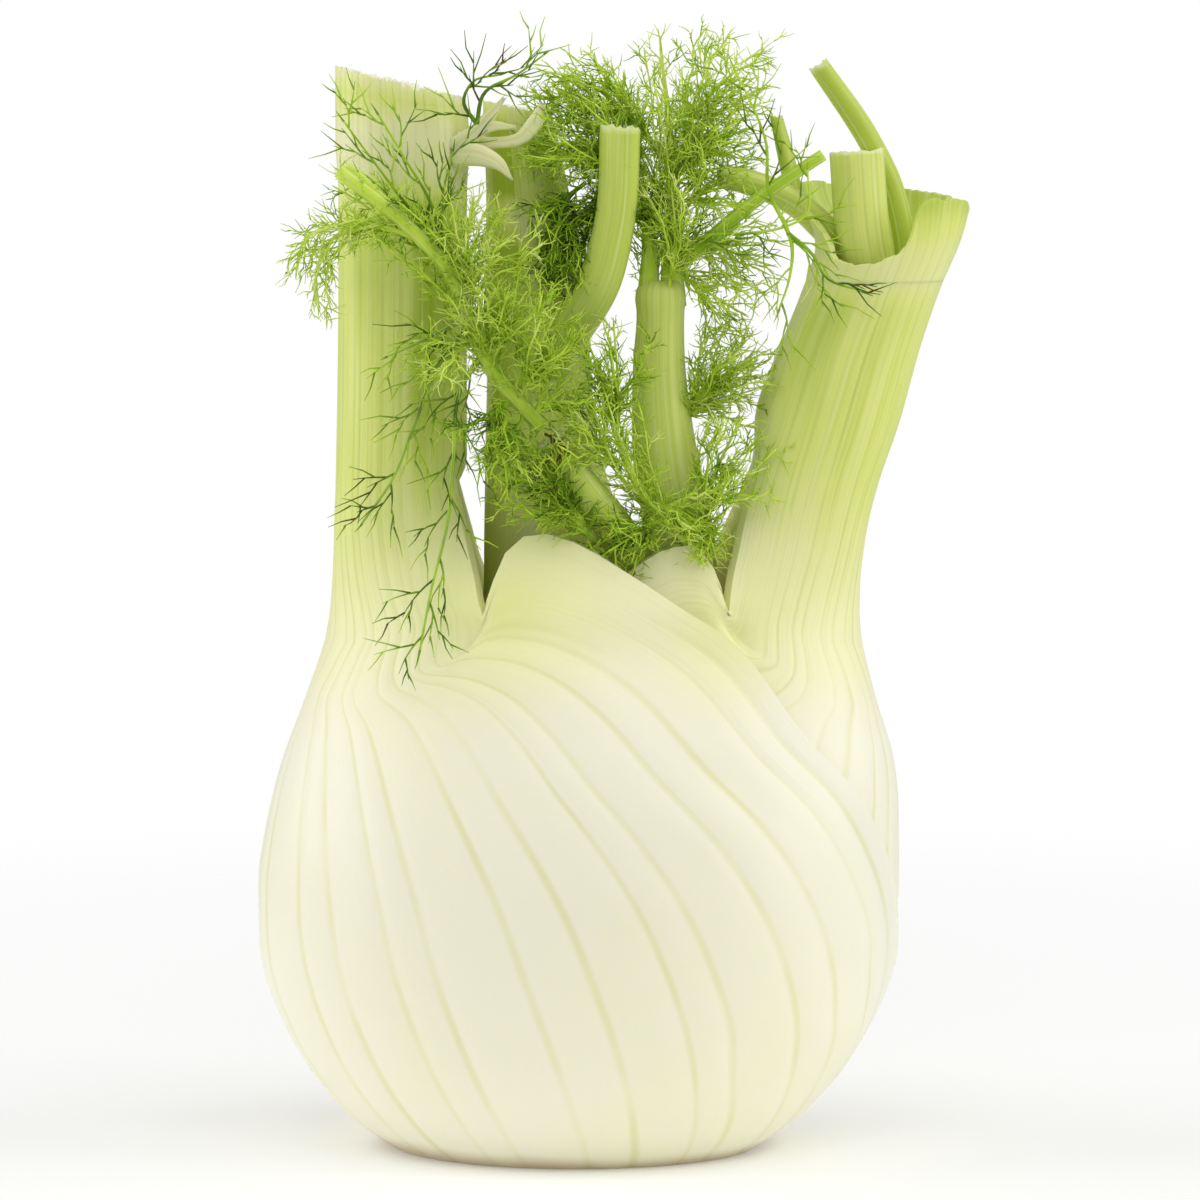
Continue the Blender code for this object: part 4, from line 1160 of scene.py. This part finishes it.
heart_leaf = make_piece(
    "heart_skin_painted_light", "heart_leaf", [heart_patch(), rod(*HEART_SHOOT, green=1.0, seed=16)], heart_skin_painted_light
)

# %% [markdown]
# ## Fronds: where each spray grows
#
# A frond is a stem with side sprays, and a spray is a thin stem with forking branches. These are
# the paths of the stems, from root to tip, and how far their side branches reach. The tone goes
# from dark to light green, the habit says how the branches grow, and the tip is the share of its
# radius that the stem keeps to its end.

# %% Sprays
Habit = namedtuple("Habit", "branch_gap fork_gap lean bend flat thickness side_stems")
DENSE = Habit(1.7, 1.5, (26, 58), 0.34, 0.0, 0.165, 7)
SPARSE = Habit(4.6, 3.2, (22, 42), 0.12, 0.85, 0.22, 0)
CURLED = Habit(0.9, 0.8, (40, 85), 0.9, 0.0, 0.15, 2)
BARE = None
Spray = namedtuple("Spray", "path reach tone habit radius tip", defaults=(0.5, DENSE, 0.4, 0.4))
SHOOT_STEM = (
    (-4.9, -14.3, 112.6),
    (-8.5, -14.5, 116.5),
    (-13.0, -14.5, 122.0),
    (-16.2, -14.5, 130.0),
    (-19.5, -14.8, 137.0),
    (-26.3, -15.5, 144.1),
    (-35.7, -15.8, 151.6),
)
HEART_STEM = (
    (18.2, -6.8, 90.0),
    (16.4, -9.6, 95.6),
    (12.0, -11.2, 100.0),
    (8.0, -12.5, 106.5),
    (5.4, -13.3, 114.0),
    (3.0, -13.5, 122.5),
)
DARK = 0.2
BROWN = -0.3
FRONDS = {
    "shoot_frond": (
        Spray(SHOOT_STEM, 4, 0.46, radius=1.3, tip=0.85),
        Spray(((-24.5, -15.4, 142.6), (-30.2, -15.6, 148.6), (-34.4, -15.4, 152.4)), 0, 0.5,
              habit=BARE, radius=0.85, tip=0.7),
        Spray(((-4.6, -15.5, 111.8), (-3.2, -16.6, 111), (-2.2, -16.6, 109), (-3, -16, 107.4)),
              1.8, BROWN, habit=CURLED, radius=0.25),
        Spray(((-23.5, -15.2, 141.3), (-30.5, -15.5, 143.2), (-36.5, -13.5, 141.5),
              (-39.3, -11, 136.5), (-39.2, -9, 130.5)), 4.5, 0.6, radius=0.5),
        Spray(((-19.5, -14.8, 137), (-24.5, -15.5, 145), (-29, -15.5, 151), (-35, -14.5, 159)),
              7.5, DARK, habit=SPARSE),
        Spray(((-20, -14.9, 137.6), (-22, -16, 147), (-25.5, -15.5, 153), (-29.8, -14, 160)), 7,
              DARK, habit=SPARSE),
        Spray(((-19.6, -14.8, 137.2), (-20.2, -16, 147), (-18.5, -15, 154.5)), 6.5, DARK,
              habit=SPARSE),
        Spray(((-16.2, -14.5, 130), (-14.5, -16.5, 137.5), (-11.5, -17, 144.5)), 5.5, 0.62),
        Spray(((-13, -14.5, 122), (-10, -17, 129), (-8.5, -17, 136)), 5.5),
        Spray(((-14.3, -14.5, 125.5), (-19, -15.8, 124), (-23, -16, 121)), 5.5, 0.6),
        Spray(((-8.5, -14.5, 116.5), (-6, -17, 124), (-2.5, -17.5, 131)), 5.5),
        Spray(((-6.5, -14.5, 114.2), (-3.5, -16.5, 118), (0.5, -17, 121.5)), 5, 0.45),
        Spray(((-7.5, -14.5, 115.4), (-9.5, -16, 110.5), (-9, -16.5, 104.5)), 4.5, 0.42),
        Spray(((-12, -14.5, 120.8), (-14.2, -16.5, 128.5), (-14, -17, 134)), 5, 0.58),
        Spray(((-10, -14.5, 118), (-12.5, -16, 113), (-13.5, -16, 107)), 4.5, 0.3),
        Spray(((-14, -14.5, 124), (-17.5, -16.5, 118.5), (-18.5, -16.5, 108), (-19.5, -17, 98),
              (-21.8, -19, 88.5), (-23.5, -22, 79.5)), 10, 0.25, habit=SPARSE, radius=0.45),
        Spray(((-16, -14.6, 128.5), (-21, -16, 122), (-24.5, -15.5, 113), (-28, -14.5, 104.5),
              (-32.5, -13, 98)), 6.5, DARK, habit=SPARSE, radius=0.45),
        Spray(((-16.2, -14.6, 129.5), (-22, -16, 126.5), (-28.5, -14.5, 123.5)), 4.5, DARK,
              habit=SPARSE, radius=0.45),
        Spray(((-17.2, -14.6, 132), (-17, -16, 139.5), (-15.6, -16, 146.5)), 4.5, 0.58),
    ),
    "shoot_side_frond": (
        Spray(((3.2, -12.6, 95), (0.5, -14.5, 98), (-3.5, -15, 101.5), (-9.5, -14, 106)), 5, 0.34,
              radius=0.5),
        Spray(((9.2, -11, 95), (6.6, -13, 94.4), (4, -13.8, 95.2)), 2.2, 0.1, habit=CURLED,
              radius=0.3),
        Spray(((2, -13.6, 97), (-0.5, -14.9, 99.5), (-4.5, -15.5, 101)), 4, 0.3, radius=0.35),
        Spray(((1, -14.2, 98), (-2.5, -15.2, 104), (-7.5, -15, 110.5)), 4.5, 0.4),
    ),
    "heart_frond": (
        Spray(HEART_STEM, 5, 0.55, radius=0.9),
        Spray(((8, -12.5, 106.5), (3, -15.5, 110), (-1.5, -17, 114)), 5),
        Spray(((6.2, -13, 111), (6.4, -14, 119), (5.8, -14, 128)), 4.5, 0.4),
        Spray(((12.6, -11.3, 100.3), (16.5, -12.5, 99.5), (19.5, -12.5, 97)), 4.5, 0.55),
        Spray(((14, -10.6, 98.8), (8.5, -14.5, 96), (5, -16.5, 94)), 4.5, 0.3),
        Spray(((16, -9.8, 96), (19, -11, 95.5), (21.5, -11.5, 93.5)), 4, 0.6),
    ),
    "middle_frond": (
        Spray(((14.9, -2.2, 130.5), (14.7, -1.4, 140), (14.8, 0.3, 152), (13.8, 1.5, 163),
              (13, 1, 170)), 7, 0.56, radius=2.1, tip=0.12),
        Spray(((11.1, -2.4, 130.5), (11.3, -1.9, 140), (9.8, -1, 151), (8, -1, 162)), 6, 0.56,
              radius=1.9, tip=0.12),
        Spray(((14.2, -4.6, 133), (15.2, -6.5, 141), (14.6, -6.5, 149)), 4, 0.55),
        Spray(((13, -2.4, 143), (9.5, -3.5, 148), (5.5, -4, 152), (0, -4, 153)), 5.5),
        Spray(((15, -1, 146), (20, -4, 148), (25.5, -4.5, 150)), 5.5),
        Spray(((13.3, -1.1, 143), (8, -2, 150), (1, -3, 156), (-6, -4, 160)), 6.5),
        Spray(((14, 0.2, 152), (8, -1, 160), (1, -2, 165), (-5, -2.5, 166.5)), 5.5),
        Spray(((14.2, 0.5, 154), (20, 0, 162), (25.5, -1, 167), (28.5, -1.5, 168)), 6, 0.6),
        Spray(((13.8, -0.2, 149), (20.5, -1, 155), (27, -2, 158)), 5.5),
        Spray(((13.2, -1.3, 139.5), (21, -4, 139.5), (29.5, -5, 137)), 5, 0.6),
        Spray(((13.2, -1.6, 137), (19, -4, 133.5), (25.5, -4.5, 129.5)), 4.5),
        # These sprays behind the stub are painted dark, as painted shade where the stub shades
        # them.
        Spray(((13.3, -1.2, 142), (6, -4.6, 146), (0, -5, 144), (-3, -5, 138), (-4, -5, 133)), 4.5,
              DARK),
        Spray(((3, -3.8, 147), (-1, -4.6, 141.5), (-2, -4.8, 134)), 4.5, DARK),
        Spray(((4, -3, 147.5), (1.8, -3.6, 142), (0.4, -4, 135)), 4, 0.22),
        Spray(((1.6, -3.4, 149.5), (-2.5, -4.2, 146), (-5, -4.6, 140.5)), 4, 0.26),
        Spray(((12, -1.5, 150), (5.5, -3, 153.5), (-1, -4, 155), (-7.5, -4.5, 156)), 5, 0.4),
        Spray(((9.8, -1, 151), (4, -2.5, 159), (-3.5, -3, 162.5)), 5, 0.42),
        Spray(((13.8, -0.4, 148.5), (17.5, -2, 153), (20.5, -2.5, 160)), 5, 0.42),
        Spray(((13.8, -2, 136), (19, -4, 139.5), (24, -5.5, 144), (30.5, -6.5, 149),
              (37.7, -7, 153.8)), 0, 0.36, habit=BARE, radius=1.25, tip=0.75),
        Spray(((13.8, -1.6, 137), (20, -1.5, 140), (25, -1, 143.5)), 6, 0.4, habit=SPARSE,
              radius=1.25, tip=0.6),
        Spray(((13.8, -2.4, 138), (20, -6.5, 141.5), (26.1, -8.5, 141.9), (32, -9, 143),
              (34.8, -9, 144.4), (35.3, -9, 151.6)), 6, 0.35, habit=SPARSE),
        Spray(((32, -9, 143), (29.4, -8.7, 148.3), (28.9, -8.7, 155.8), (26.4, -8, 162.2),
              (24.3, -7, 166.5)), 9, 0.35, habit=SPARSE),
        Spray(((32, -9, 143), (32.8, -9.5, 140.8), (32.6, -10, 135.4), (31, -10.5, 130.5)), 8,
              0.35, habit=SPARSE),
        Spray(((32.3, -9.2, 142), (36, -11, 138.8), (38, -12, 135.4), (43.4, -13, 133.3)), 6, DARK,
              habit=SPARSE),
    ),
    "upper_side_frond": (
        Spray(((15.8, -2.3, 112.5), (18.6, -2.5, 116), (23.5, -3, 120.5), (29, -3.5, 123.5)), 4.5,
              0.6, radius=0.45),
        Spray(((16.8, -2.4, 113.6), (21, -3, 115.5), (26.5, -3.5, 116)), 3, 0.6),
        Spray(((16.2, -2.4, 113.2), (20.5, -3.6, 119), (25.5, -4, 124.5)), 4, 0.5),
    ),
    "lower_side_frond": (
        Spray(((18, -5.5, 91.5), (19.6, -8.2, 95.2), (20, -8.8, 99), (21, -9, 104.5),
              (23.2, -9, 109.5), (25.2, -8, 113.5)), 5, 0.55, radius=0.5),
        Spray(((20, -8.8, 99), (22.6, -10.5, 102), (25.6, -11, 105.5)), 4, 0.6),
    ),
    "torn_sprig": (
        Spray(((-15, -11, 158.5), (-14, -11, 163), (-8.6, -10, 166.2), (-4.8, -9, 169)), 5, DARK,
              habit=SPARSE),
        Spray(((-15, -11, 158.5), (-17, -11, 162), (-15.5, -10.5, 165), (-11.5, -10, 166)), 4,
              DARK, habit=SPARSE),
    ),
}
print(len(FRONDS), "fronds,", sum(len(sprays) for sprays in FRONDS.values()), "sprays")

# %% [markdown]
# ## Keeping clear of the stalks
#
# Threads lie on the stalks and never pass through them. A point that would be inside a leaf, or
# closer to it than its own room, is moved to the nearest place outside. Whether a point is inside
# is told by a ray from it: it then crosses the skin an odd number of times.

# %% Clearance
RAY = Vector((0.31, 0.17, 0.94)).normalized()
RAY_STEP = 0.001
DEEPEST = 12


def surface(node):
    """A search tree of a node's faces, in millimetres."""
    mesh = frame["nodes"][node].data
    points = [v.co / MM for v in mesh.vertices]
    return BVHTree.FromPolygons(points, [tuple(p.vertices) for p in mesh.polygons])


def is_inside(tree, point):
    crossed = 0
    hit = tree.ray_cast(point, RAY)[0]
    while hit:
        crossed += 1
        hit = tree.ray_cast(hit + RAY * RAY_STEP, RAY)[0]
    return crossed % 2 == 1


def way_out(point, room, obstacles):
    """The move that takes a point at least this far from every obstacle."""
    out = Vector()
    for tree in obstacles:
        near, normal, _, distance = tree.find_nearest(point + out)
        if distance < DEEPEST and is_inside(tree, point + out):
            out += near - (point + out) + normal * room
        elif distance < room:
            out += (point + out - near).normalized() * (room - distance)
    return out


leaf_trees = [surface(name) for name in ("left_leaf", "right_leaf", "back_leaf", "heart_leaf")]
print("a point in the heart is inside:", is_inside(leaf_trees[3], Vector((2, 0, 40))))

# %% [markdown]
# ## Threads
#
# A thread is a three-sided tube that tapers to a point: so thin that nobody can count its sides,
# and cheap enough for thousands. All the threads of a frond are worked out as big arrays: a path
# of a few points each, a radius for each point, and one tint for each thread.

# %% Thread patches
POINTS_AT_LEVEL = {1: 6, 2: 4, 3: 3}
THREAD_SIDES = 3
THREAD_TIP = 0.05
RARE_WAY = np.array([0.37, 0.81, 0.45])


def thread_mesh(paths, radii):
    """Points and squares of many thin tubes at once."""
    count, steps = paths.shape[:2]
    ahead = np.gradient(paths, axis=1)
    ahead /= np.linalg.norm(ahead, axis=2, keepdims=True)
    side = np.cross(ahead, RARE_WAY)
    side /= np.linalg.norm(side, axis=2, keepdims=True)
    other = np.cross(ahead, side)
    turns = np.arange(THREAD_SIDES) / THREAD_SIDES * 2 * math.pi
    ring = np.cos(turns)[:, None] * side[:, :, None] + np.sin(turns)[:, None] * other[:, :, None]
    points = paths[:, :, None] + ring * radii[:, :, None, None]
    one = quads_of(steps, THREAD_SIDES, True)
    quads = one[None] + (np.arange(count) * steps * THREAD_SIDES)[:, None, None]
    return points.reshape(-1, 3), quads.reshape(-1, 4)


print("a last thread has", 2 * (POINTS_AT_LEVEL[3] - 1) * THREAD_SIDES, "triangles")

# %% [markdown]
# ## Growing a frond
#
# Every branch leans away from its stem, bends back towards the tip of the stem, and forks twice
# more, each fork a little thinner. A dense spray has a few finer stems beside its own, so that its
# threads fill the space round it. An open spray lies flat, with long branches and few forks. A
# seeded dice throw decides the angles, so the frond comes out the same each time.

# %% Frond growth
Strand = namedtuple("Strand", "root heading bend length radius level tone")
LEVELS = 3
SHORTEST_FORKED = 1.3
FORKS_FROM = 0.2
FORKS_OVER = 0.75
IN_ITS_SPACE = (0.1, 0.9)
TURN_CHANCE = 0.9
FORK_SHARE = (0.3, 0.6)
FORK_EXTRA = (0.6, 1.5)
FORK_THINNING = 0.88
BACK_BEND = (0.1, 0.5)
TONE_CHANCE = 0.12
BRANCH_IN_SPACE = (0.2, 0.9)
LOOK_AHEAD = 0.3
BRANCH_AT_ROOT = 1.05
BRANCH_SHRINKS = 0.4
BRANCH_CHANCE = (0.7, 1.15)
BRANCH_TURN = 2.4
BRANCH_TURN_CHANCE = 0.4
BRANCH_LEANS_MORE = 6
BRANCH_TONE_CHANCE = 0.15
TIP_LOOK = 0.2
TIP_BEND = 0.1
TIP_REACH = 0.3
SIDE_STEM_POINTS = 7
SIDE_STEM_TURN_CHANCE = 0.5
SIDE_STEM_SPREAD = 1.1
SIDE_STEM_STARTS = (0.0, 0.35)
SIDE_STEM_ENDS = (0.75, 1.0)
SIDE_STEM_REACH = (0.6, 1.4)
SIDE_STEM_FLAT = 0.35
SIDE_STEM_WAVE = 0.5
SIDE_STEM_RADIUS = 0.22
SIDE_STEM_TIP = 0.6
SIDE_BRANCHES = 0.62


def strand_at(strand, t):
    """The place on a strand's curved path at a distance from its root."""
    return strand.root + strand.heading * t + strand.bend * t * t / strand.length


def strand_points(strand, count):
    return strand_at(strand, np.linspace(0, 1, count)[:, None] * strand.length)


def unit(vector):
    return vector / np.linalg.norm(vector)


def leaning(ahead, degrees, turn, flat):
    """A direction that leans aside from the one ahead. The flatter, the more it keeps to the
    plane that faces the viewer."""
    side = unit(np.cross(ahead, np.array([0.0, 1.0, 0.0])) + np.array([1e-6, 0, 0]))
    other = np.cross(ahead, side)
    lean = math.radians(degrees)
    aside = unit(math.cos(turn) * side + (1 - flat) * math.sin(turn) * other)
    return math.cos(lean) * ahead + math.sin(lean) * aside


def wobble(chance, size):
    return np.array([chance.uniform(-size, size) for _ in range(3)])


def fork(strand, habit, chance, found):
    """Adds a strand and all that forks from it."""
    found.append(strand)
    if strand.level == LEVELS or strand.length < SHORTEST_FORKED:
        return
    gap = habit.fork_gap
    count = max(2, round(strand.length / gap))
    turn = 0.0 if habit.flat else chance.uniform(0, 2 * math.pi)
    for i in range(count):
        share = FORKS_FROM + FORKS_OVER * (i + chance.uniform(*IN_ITS_SPACE)) / count
        t = strand.length * share
        turn += math.pi + chance.uniform(-TURN_CHANCE, TURN_CHANCE) * (1 - habit.flat)
        root = strand_at(strand, t)
        ahead = unit(strand.heading + strand.bend * 2 * t / strand.length)
        heading = leaning(ahead, chance.uniform(*habit.lean), turn, habit.flat)
        length = (strand.length - t) * chance.uniform(*FORK_SHARE)
        length += chance.uniform(*FORK_EXTRA) * gap
        bend = (ahead - heading) * chance.uniform(*BACK_BEND) + wobble(chance, habit.bend)
        radius = strand.radius * FORK_THINNING
        tone = strand.tone + chance.uniform(-TONE_CHANCE, TONE_CHANCE)
        child = Strand(root, heading, bend, length, radius, strand.level + 1, tone)
        fork(child, habit, chance, found)


def branch_out(path, reach, tone, habit, chance, found):
    """Side branches all along a stem."""
    path, knots = measured(path)
    length = knots[-1]
    count = max(1, round(length / habit.branch_gap))
    first_turn = 0.0 if habit.flat else chance.uniform(0, 2 * math.pi)
    for i in range(count):
        at = (i + chance.uniform(*BRANCH_IN_SPACE)) / count * length
        before = max(at - LOOK_AHEAD, 0)
        after = min(at + LOOK_AHEAD, length)
        near = through(knots, path, [before, at, after])
        ahead = unit(near[2] - near[0])
        size = reach * (BRANCH_AT_ROOT - BRANCH_SHRINKS * at / length)
        size *= chance.uniform(*BRANCH_CHANCE)
        turn = first_turn + i * (math.pi if habit.flat else BRANCH_TURN)
        turn += chance.uniform(-BRANCH_TURN_CHANCE, BRANCH_TURN_CHANCE)
        lean = chance.uniform(*habit.lean) + BRANCH_LEANS_MORE
        heading = leaning(ahead, lean, turn, habit.flat)
        bend = (ahead - heading) * chance.uniform(*BACK_BEND) + wobble(chance, habit.bend)
        shade = tone + chance.uniform(-BRANCH_TONE_CHANCE, BRANCH_TONE_CHANCE)
        branch = Strand(near[1], heading, bend, size, habit.thickness, 1, shade)
        fork(branch, habit, chance, found)
    before, end = through(knots, path, [length - TIP_LOOK, length])
    ahead = unit(end - before)
    bend = wobble(chance, TIP_BEND)
    found.append(Strand(end, ahead, bend, reach * TIP_REACH, habit.thickness, 2, tone))


def side_stem(path, number, habit, reach, chance):
    """A finer stem that leaves the first one and runs beside it."""
    path, knots = measured(path)
    length = knots[-1]
    ahead = unit(path[-1] - path[0])
    turn = number * 2 * math.pi / habit.side_stems
    turn += chance.uniform(-SIDE_STEM_TURN_CHANCE, SIDE_STEM_TURN_CHANCE)
    aside = leaning(ahead, 90, turn, SIDE_STEM_FLAT)
    start = length * chance.uniform(*SIDE_STEM_STARTS)
    end = length * chance.uniform(*SIDE_STEM_ENDS)
    at = np.linspace(start, end, SIDE_STEM_POINTS)
    away = smooth(at, start, end * SIDE_STEM_SPREAD) * reach * chance.uniform(*SIDE_STEM_REACH)
    waves = np.array([wobble(chance, SIDE_STEM_WAVE) for _ in at])
    waves *= smooth(at, at[0], at[2])[:, None]
    return through(knots, path, at) + away[:, None] * aside + waves


def grow_spray(name, number, spray, found, stems):
    """One stem, the finer stems beside it, and the side branches of them all."""
    chance = random.Random(f"{name} {number}")
    stems.append((*measured(spray.path), spray.radius, spray.tone, spray.tip))
    habit = spray.habit
    if habit is BARE:
        return
    branch_out(spray.path, spray.reach, spray.tone, habit, chance, found)
    for i in range(habit.side_stems):
        path = side_stem(spray.path, i, habit, spray.reach, chance)
        stems.append((*measured(path), SIDE_STEM_RADIUS, spray.tone, SIDE_STEM_TIP))
        branch_out(path, spray.reach * SIDE_BRANCHES, spray.tone, habit, chance, found)


print("a dense spray has", DENSE.side_stems, "finer stems beside its own")

# %% [markdown]
# ## The look of a thread
#
# A frond is lime green where the light strikes through it and darker inside the tangle. Each
# thread has a tint of its own, and its tip is a little yellower.


# %% Frond material
THREAD_COLOURS = (
    (0.0, rgb(112, 90, 34)),
    (0.1, rgb(70, 98, 26)),
    (0.24, rgb(114, 152, 38)),
    (0.44, rgb(178, 214, 54)),
    (0.7, rgb(216, 240, 92)),
    (1.0, rgb(242, 250, 166)),
)
PATCH_SCALE = 160.0
PATCHY_TINT = 0.7
YELLOW_TIP = 0.18
STEM_STRIPES = 9.0
STEM_STREAKS = (0.5, 0.62, 0.0, 0.6)
NO_STEM = (0.0, 0.02)


def frond_finish():
    recipe = Recipe("frond_green", Roughness=0.6, Specular_IOR_Level=0.12)
    tint = recipe.painted("tint")
    tip = recipe.painted("tip")
    stem = recipe.painted("stem")
    patchy = recipe.noise(recipe.node("TexCoord", {}, "Object"), PATCH_SCALE)
    uneven = recipe.sum("SUBTRACT", patchy, 0.5)
    shade = recipe.sum("MULTIPLY_ADD", uneven, PATCHY_TINT, tint)
    shade = recipe.sum("MULTIPLY_ADD", tip, YELLOW_TIP, shade)
    colour = recipe.ramp(shade, THREAD_COLOURS)
    around = recipe.sum("MULTIPLY", stem, STEM_STRIPES)
    striped = recipe.noise(recipe.place(around, 0.3), 1.0)
    streak = recipe.spread(striped, *STEM_STREAKS)
    is_stem = recipe.spread(stem, *NO_STEM)
    colour = recipe.blend(recipe.sum("MULTIPLY", streak, is_stem), colour, STRIPE_LIGHT)
    return recipe.finish(colour)


frond_green = frond_finish()
print("frond finish with", len(THREAD_COLOURS), "greens")

# %% [markdown]
# ## Making the fronds
#
# Each frond becomes one mesh: its stems as many-sided tubes and all its threads. Points that
# would lie in a stalk are moved out of it, and nothing leaves the space of the plain model.

# %% Fronds
STEM_SIDES = 10
THIN_STEM_SIDES = 5
THICK_STEM = 0.4
STEM_STEP = 0.8
STEM_TAPER = 1.6
STEM_LEAST = 0.15
LEAST_RINGS = 6
STEM_POINT = 0.05
FIRST_STRIPE = 0.05
THREAD_ROOM = 0.3
THREAD_TAPER = 0.6
BOX_ROOM = 0.3


def pushed_out(paths):
    """Moves every point that is in a leaf, or too near to it, out of it."""
    for path in paths:
        for i in range(1, len(path)):
            out = way_out(Vector(path[i]), THREAD_ROOM, leaf_trees)
            path[i] += np.array(out)
    return paths


def thread_part(batch, steps, low, high):
    """All the threads of one level of forking."""
    level = batch[0].level
    paths = pushed_out(np.array([strand_points(s, steps) for s in batch]))
    taper = np.linspace(1, 0, steps) ** THREAD_TAPER
    radii = np.array([s.radius for s in batch])[:, None] * taper[None]
    points, quads = thread_mesh(np.clip(paths, low, high), np.maximum(radii, THREAD_TIP))
    tint = np.repeat([s.tone for s in batch], steps * THREAD_SIDES)
    along = np.linspace(0, 1, steps) * level / LEVELS
    tip = np.tile(np.repeat(along, THREAD_SIDES), len(batch))
    return Part(points, quads, {"tint": tint, "tip": tip, "stem": np.zeros(len(points))})


def stem_part(stem, low, high):
    """A stem as a tube that tapers to a share of its radius. A thick one has a number round it
    for its stripes."""
    path, knots, radius, tone, kept = stem
    is_thick = radius > THICK_STEM
    at = np.linspace(0, knots[-1], max(LEAST_RINGS, int(knots[-1] / STEM_STEP)))
    radii = radius * (kept + (1 - kept) * (1 - at / knots[-1]) ** STEM_TAPER)
    radii = np.maximum(radii, STEM_LEAST)
    sides = STEM_SIDES if is_thick else THIN_STEM_SIDES
    rings, _ = rod_rings(through(knots, path, at), radii, sides)
    end = rings[-1].mean(axis=0)
    rings = np.concatenate([rings, [end + (rings[-1] - end) * STEM_POINT]])
    rows = len(rings)
    stripes = np.arange(sides) / sides + FIRST_STRIPE if is_thick else np.zeros(sides)
    tint = np.full(rows * sides, tone)
    tip = np.repeat(np.linspace(0, 1, rows), sides)
    points = np.clip(rings, low, high).reshape(-1, 3)
    paint = {"tint": tint, "tip": tip, "stem": np.tile(stripes, rows)}
    return Part(points, quads_of(rows, sides, True), paint)


def make_frond(name):
    found, stems = [], []
    for number, spray in enumerate(FRONDS[name]):
        grow_spray(name, number, spray, found, stems)
    low = np.array(cad_low) / MM + BOX_ROOM
    high = np.array(cad_high) / MM - BOX_ROOM
    parts = []
    for level, steps in POINTS_AT_LEVEL.items():
        batch = [s for s in found if s.level == level]
        if batch:
            parts.append(thread_part(batch, steps, low, high))
    parts += [stem_part(stem, low, high) for stem in stems]
    print(name, "has", len(found), "threads")
    return make_mesh(name + "_threads", name, parts, frond_green)


fronds = [make_frond(name) for name in FRONDS]

# %% [markdown]
# ## The pieces
#
# Every node of the plain model now has a dressed piece; the number of pieces and of nodes is
# printed. The dressed model has to stay in the plain model's box.

# %% Sizes
pieces = (left_leaf, right_leaf, back_leaf, heart_leaf, *fronds)
print(len(pieces), "pieces take the place of", len(frame["nodes"]), "nodes")
